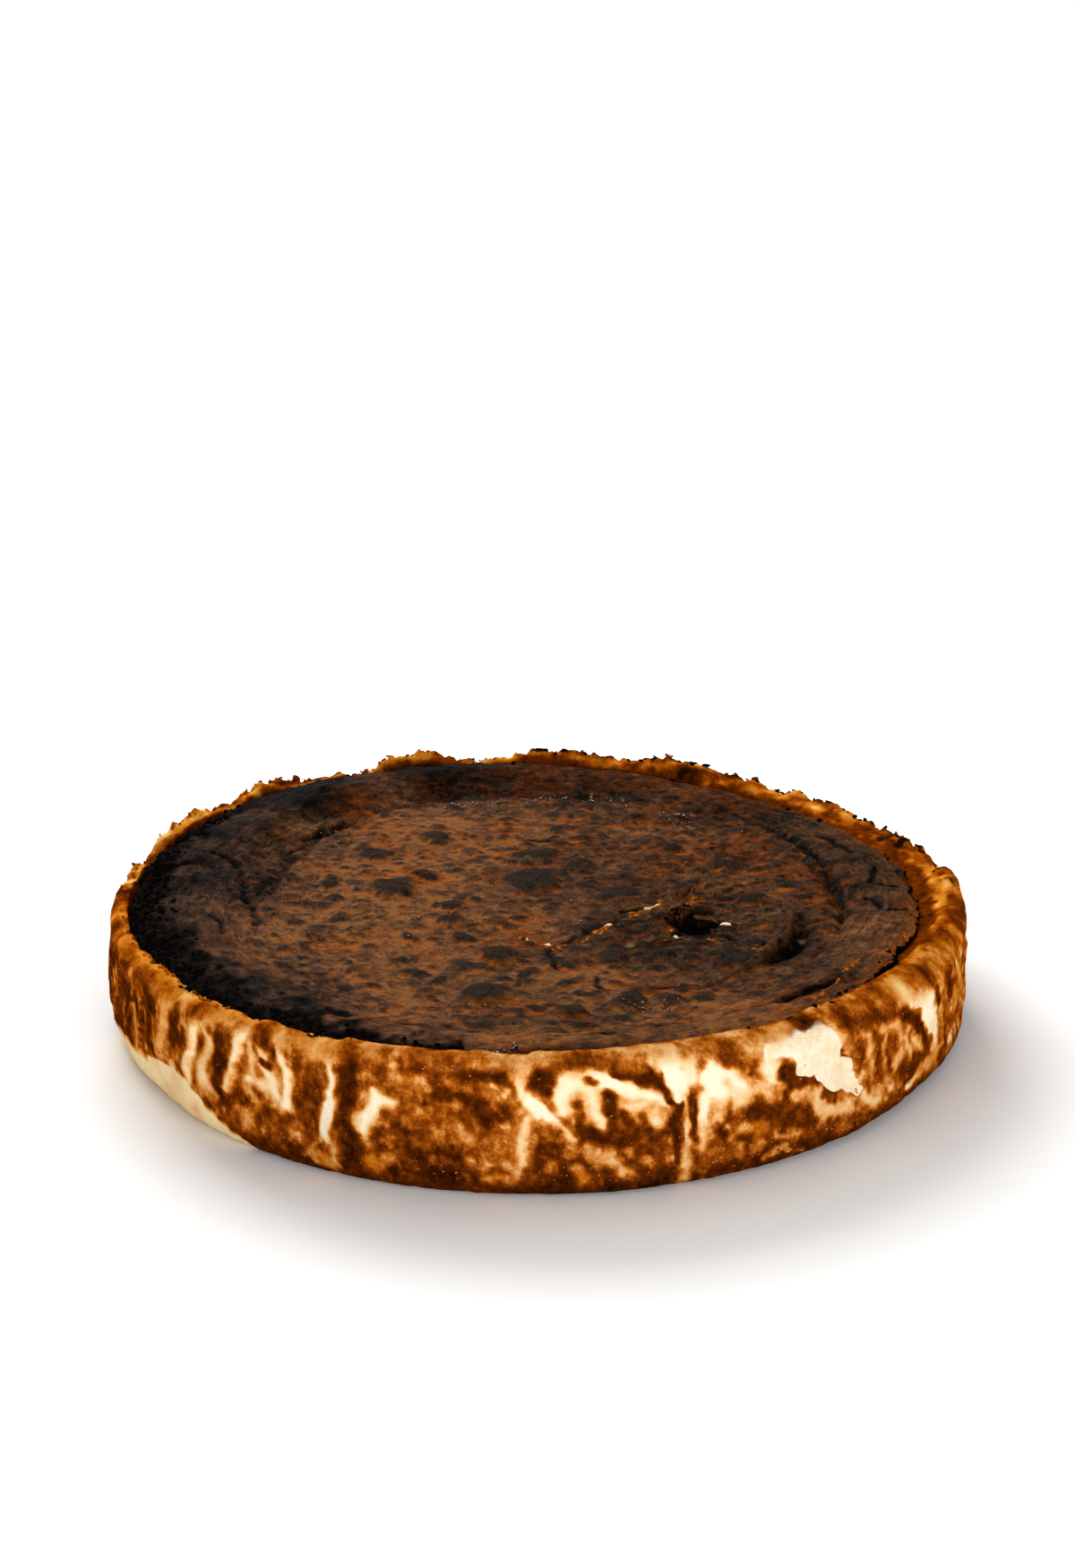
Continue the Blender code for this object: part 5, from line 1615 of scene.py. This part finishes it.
class CakeColours(bpy.types.PropertyGroup):
    """The colours of the baked surfaces."""

    cream: colour_property("Cream", "Bare custard", 253, 238, 208)
    pale: colour_property("Pale", "Custard just turning", 251, 220, 174)
    peach: colour_property("Peach", "Lightly toasted", 236, 178, 108)
    tan: colour_property("Tan", "Toasted", 198, 116, 36)
    brown: colour_property("Brown", "Browned", 142, 66, 8)
    dark_brown: colour_property("Dark brown", "Well browned", 82, 33, 2)
    burnt: colour_property("Burnt", "Darkest brown of the side", 34, 14, 4)
    butter: colour_property("Butter", "Palest amber", 253, 214, 130)
    honey: colour_property("Honey", "Light amber", 228, 142, 38)
    amber: colour_property("Amber", "Golden rim", 178, 86, 6)
    rust: colour_property("Rust", "Deep orange brown", 116, 48, 3)
    soot: colour_property("Soot", "Burnt tips of the rim", 24, 13, 7)
    char: colour_property("Char", "Black edge of the skin", 10, 7, 6)
    coal: colour_property("Coal", "Nearly black skin", 23, 14, 8)
    cocoa: colour_property("Cocoa", "Middle brown of the skin", 60, 39, 25)
    russet: colour_property("Russet", "Warm brown of the dish", 98, 62, 36)
    glow: colour_property("Glow", "Brightest places of the dish", 144, 90, 46)
    ember: colour_property("Ember", "Dark orange brown of the skin", 36, 15, 4)
    umber: colour_property("Umber", "Orange brown of the skin", 70, 32, 7)
    sienna: colour_property("Sienna", "Bright orange brown of the skin", 114, 58, 17)
    ochre: colour_property("Ochre", "Brightest orange of the skin", 160, 86, 30)
    # The grey of the blisters' tops: their own dark burnt colour with a painted sheen
    blister: colour_property("Blister", "Tops of the blisters", 56, 46, 36)
    tan_dot: colour_property("Tan dot", "Small pale dots", 120, 98, 62)


def angle_property(name, description, degrees):
    return FloatProperty(
        name=name, description=description, default=math.radians(degrees), subtype="ANGLE", unit="ROTATION")


def power_property(name, description, watts):
    return FloatProperty(name=name, description=description, default=watts, min=0.0, unit="POWER")


class StudioSettings(bpy.types.PropertyGroup):
    """The camera and the light."""

    distance: length_property("Camera distance", "From the cake's middle to the lens", 0.8864)
    elevation: angle_property("Camera elevation", "Height of the lens over the table, as an angle", 23.0)
    pitch: angle_property("Camera pitch", "How far the lens looks down", 18.5)
    roll: angle_property("Camera roll", "Turn of the picture", -0.38)
    lens: FloatProperty(name="Lens", description="Focal length in millimetres", default=65.5)
    back_light: power_property("Back light", "Power of the window behind", 24.0)
    top_light: power_property("Top light", "Power of the softbox above", 4.0)
    fill_light: power_property("Front light", "Power of the front panel", 17.0)
    sky: FloatProperty(name="Surroundings", description="Strength of the room's light", default=0.2)
    glow: FloatProperty(name="Far table", description="How bright the far table is", default=0.9)
    floor: FloatVectorProperty(
        name="Floor", description="Colour of the table", default=(0.91, 0.905, 0.895), subtype="COLOR", size=3)


class CAKE_OT_body(bpy.types.Operator):
    """Builds the cake's body: underside, marbled side, rim and ledge"""

    bl_idname = "cake.body"
    bl_label = "Body"

    def execute(self, context):
        body = build_body(context.scene.cake_sizes, crust_material(context.scene.cake_colours))
        settle(body)
        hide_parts(NODE)
        return {"FINISHED"}


class CAKE_OT_skin(bpy.types.Operator):
    """Builds the burnt skin with its shoulder, dish, blisters and cracks"""

    bl_idname = "cake.skin"
    bl_label = "Skin"

    def execute(self, context):
        skin = build_skin(context.scene.cake_sizes, skin_material(context.scene.cake_colours))
        settle(skin)
        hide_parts(NODE)
        return {"FINISHED"}


class CAKE_OT_flaps(bpy.types.Operator):
    """Raises the torn bits of skin round the hole, and the thick wrinkle"""

    bl_idname = "cake.flaps"
    bl_label = "Torn skin"

    def execute(self, context):
        flaps = build_flaps(bpy.data.materials["baked_skin"])
        write_fields(flaps, warmth=0.68, blister=0.15)
        settle(flaps)
        settle(build_rope(bpy.data.materials["baked_skin"]))
        return {"FINISHED"}


class CAKE_OT_crumbs(bpy.types.Operator):
    """Scatters burnt crumbs along the skin's edge and in the hole"""

    bl_idname = "cake.crumbs"
    bl_label = "Burnt crumbs"

    def execute(self, context):
        scatter("burnt_crumbs", char_crumb_places(), 0.7, 1.0, bpy.data.materials["baked_skin"], "burnt_skin",
                warmth=0.1, char=1.0)
        return {"FINISHED"}


class CAKE_OT_flakes(bpy.types.Operator):
    """Puts ragged flakes on the rim and pale ones along the base"""

    bl_idname = "cake.flakes"
    bl_label = "Flakes"

    def execute(self, context):
        crust = bpy.data.materials["baked_crust"]
        found, burn, tone = flake_places()
        scatter("rim_flakes", found, 0.9, 2.0, crust, "side_crust", tone=tone, amber=0.9, burnt=burn, bare=0.0)
        found, tone = pale_flake_places()
        scatter("base_flakes", found, 0.6, 3.0, crust, "side_crust", tone=tone, amber=0.3, burnt=0.0, bare=0.0)
        return {"FINISHED"}


class CAKE_OT_caramel(bpy.types.Operator):
    """Drops glossy beads of caramel on the skin and specks of it on the side"""

    bl_idname = "cake.caramel"
    bl_label = "Caramel"

    def execute(self, context):
        colours = context.scene.cake_colours
        dark = caramel_material("caramel", colours.ember, colours.sienna)
        scatter("caramel_beads", caramel_places(), 0.35, 4.0, dark, "burnt_skin")
        light = caramel_material("light_caramel", colours.brown, colours.tan)
        scatter("caramel_specks", speck_places(), 0.35, 4.0, light, "side_crust")
        return {"FINISHED"}


class CAKE_OT_studio(bpy.types.Operator):
    """Lays the pale table, hangs the soft lights and sets up the camera"""

    bl_idname = "cake.studio"
    bl_label = "Studio"

    def execute(self, context):
        studio = context.scene.cake_studio
        lay_table(studio)
        hang_light("back_light", (-0.4, 1.15, 0.78), (0.0, 0.0, 0.0), 0.9, studio.back_light)
        hang_light("top_light", (0.0, 0.0, 1.2), (0.0, 0.0, 0.0), 1.4, studio.top_light)
        hang_light("front_light", (0.35, -1.5, 0.36), (0.0, 0.0, 0.02), 1.1, studio.fill_light)
        light_room(studio)
        place_camera(studio)
        return {"FINISHED"}


def lay_table(studio):
    """A pale table that glows away from the cake, so that it stays pale right into the distance."""
    surface = Recipe("table")
    away = surface.vector_maths("LENGTH", surface.place)["Value"]
    surface.coat({
        "Base Color": studio.floor, "Roughness": 0.8, "Specular IOR Level": 0.1,
        "Emission Color": (1.0, 1.0, 1.0),
        "Emission Strength": surface.step(away, GLOW_FROM, GLOW_TO, studio.glow)})
    corners = [(x * TABLE_HALF, y * TABLE_HALF, 0.0) for x, y in ((-1, -1), (1, -1), (1, 1), (-1, 1))]
    table = new_piece("table", corners, [[0, 1, 2, 3]], surface.material)


def hang_light(name, place, aim, width, power):
    lamp = bpy.data.lights.new(name, "AREA")
    lamp.shape = "SQUARE"
    lamp.size = width
    lamp.energy = power
    light = link(name, lamp)
    light.location = place
    light.rotation_euler = (Vector(aim) - Vector(place)).to_track_quat("-Z", "Y").to_euler()


def light_room(studio):
    world = bpy.data.worlds.new("room")
    world.use_nodes = True
    background = world.node_tree.nodes["Background"]
    background.inputs["Color"].default_value = (1.0, 0.99, 0.97, 1.0)
    background.inputs["Strength"].default_value = studio.sky
    bpy.context.scene.world = world
    bpy.context.scene.view_settings.view_transform = "Standard"


def place_camera(studio):
    lens = bpy.data.cameras.new("camera")
    lens.lens = studio.lens
    lens.sensor_width = 36.0
    lens.clip_start, lens.clip_end = 0.05, 50.0
    camera = link("camera", lens)
    back, up = math.cos(studio.elevation), math.sin(studio.elevation)
    look = Matrix.Rotation(math.pi / 2 - studio.pitch, 4, "X") @ Matrix.Rotation(studio.roll, 4, "Z")
    camera.matrix_world = Matrix.Translation((0.0, -studio.distance * back, studio.distance * up)) @ look
    bpy.context.scene.camera = camera


class CAKE_PT_panel(bpy.types.Panel):
    """Lists the steps of making the cake"""

    bl_idname = "CAKE_PT_panel"
    bl_label = "Burnt Cheesecake"
    bl_space_type = "VIEW_3D"
    bl_region_type = "UI"
    bl_category = "Cake"

    def draw(self, context):
        for operator in OPERATORS:
            self.layout.operator(operator.bl_idname)
        for group in (context.scene.cake_sizes, context.scene.cake_colours, context.scene.cake_studio):
            for name in group.__annotations__:
                self.layout.prop(group, name)


GROUPS = {"cake_sizes": CakeSizes, "cake_colours": CakeColours, "cake_studio": StudioSettings}
OPERATORS = (
    CAKE_OT_body, CAKE_OT_skin, CAKE_OT_flaps, CAKE_OT_crumbs, CAKE_OT_flakes, CAKE_OT_caramel, CAKE_OT_studio)


def register():
    for kind in (*GROUPS.values(), *OPERATORS, CAKE_PT_panel):
        bpy.utils.register_class(kind)
    for name, kind in GROUPS.items():
        setattr(bpy.types.Scene, name, PointerProperty(type=kind))


def unregister():
    for name in GROUPS:
        delattr(bpy.types.Scene, name)
    for kind in reversed((*GROUPS.values(), *OPERATORS, CAKE_PT_panel)):
        bpy.utils.unregister_class(kind)


def main():
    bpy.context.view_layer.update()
    register()
    bpy.ops.cake.body()
    bpy.ops.cake.skin()
    bpy.ops.cake.flaps()
    bpy.ops.cake.crumbs()
    bpy.ops.cake.flakes()
    bpy.ops.cake.caramel()
    bpy.ops.cake.studio()
    bpy.context.view_layer.update()


if __name__ == "__main__":
    main()
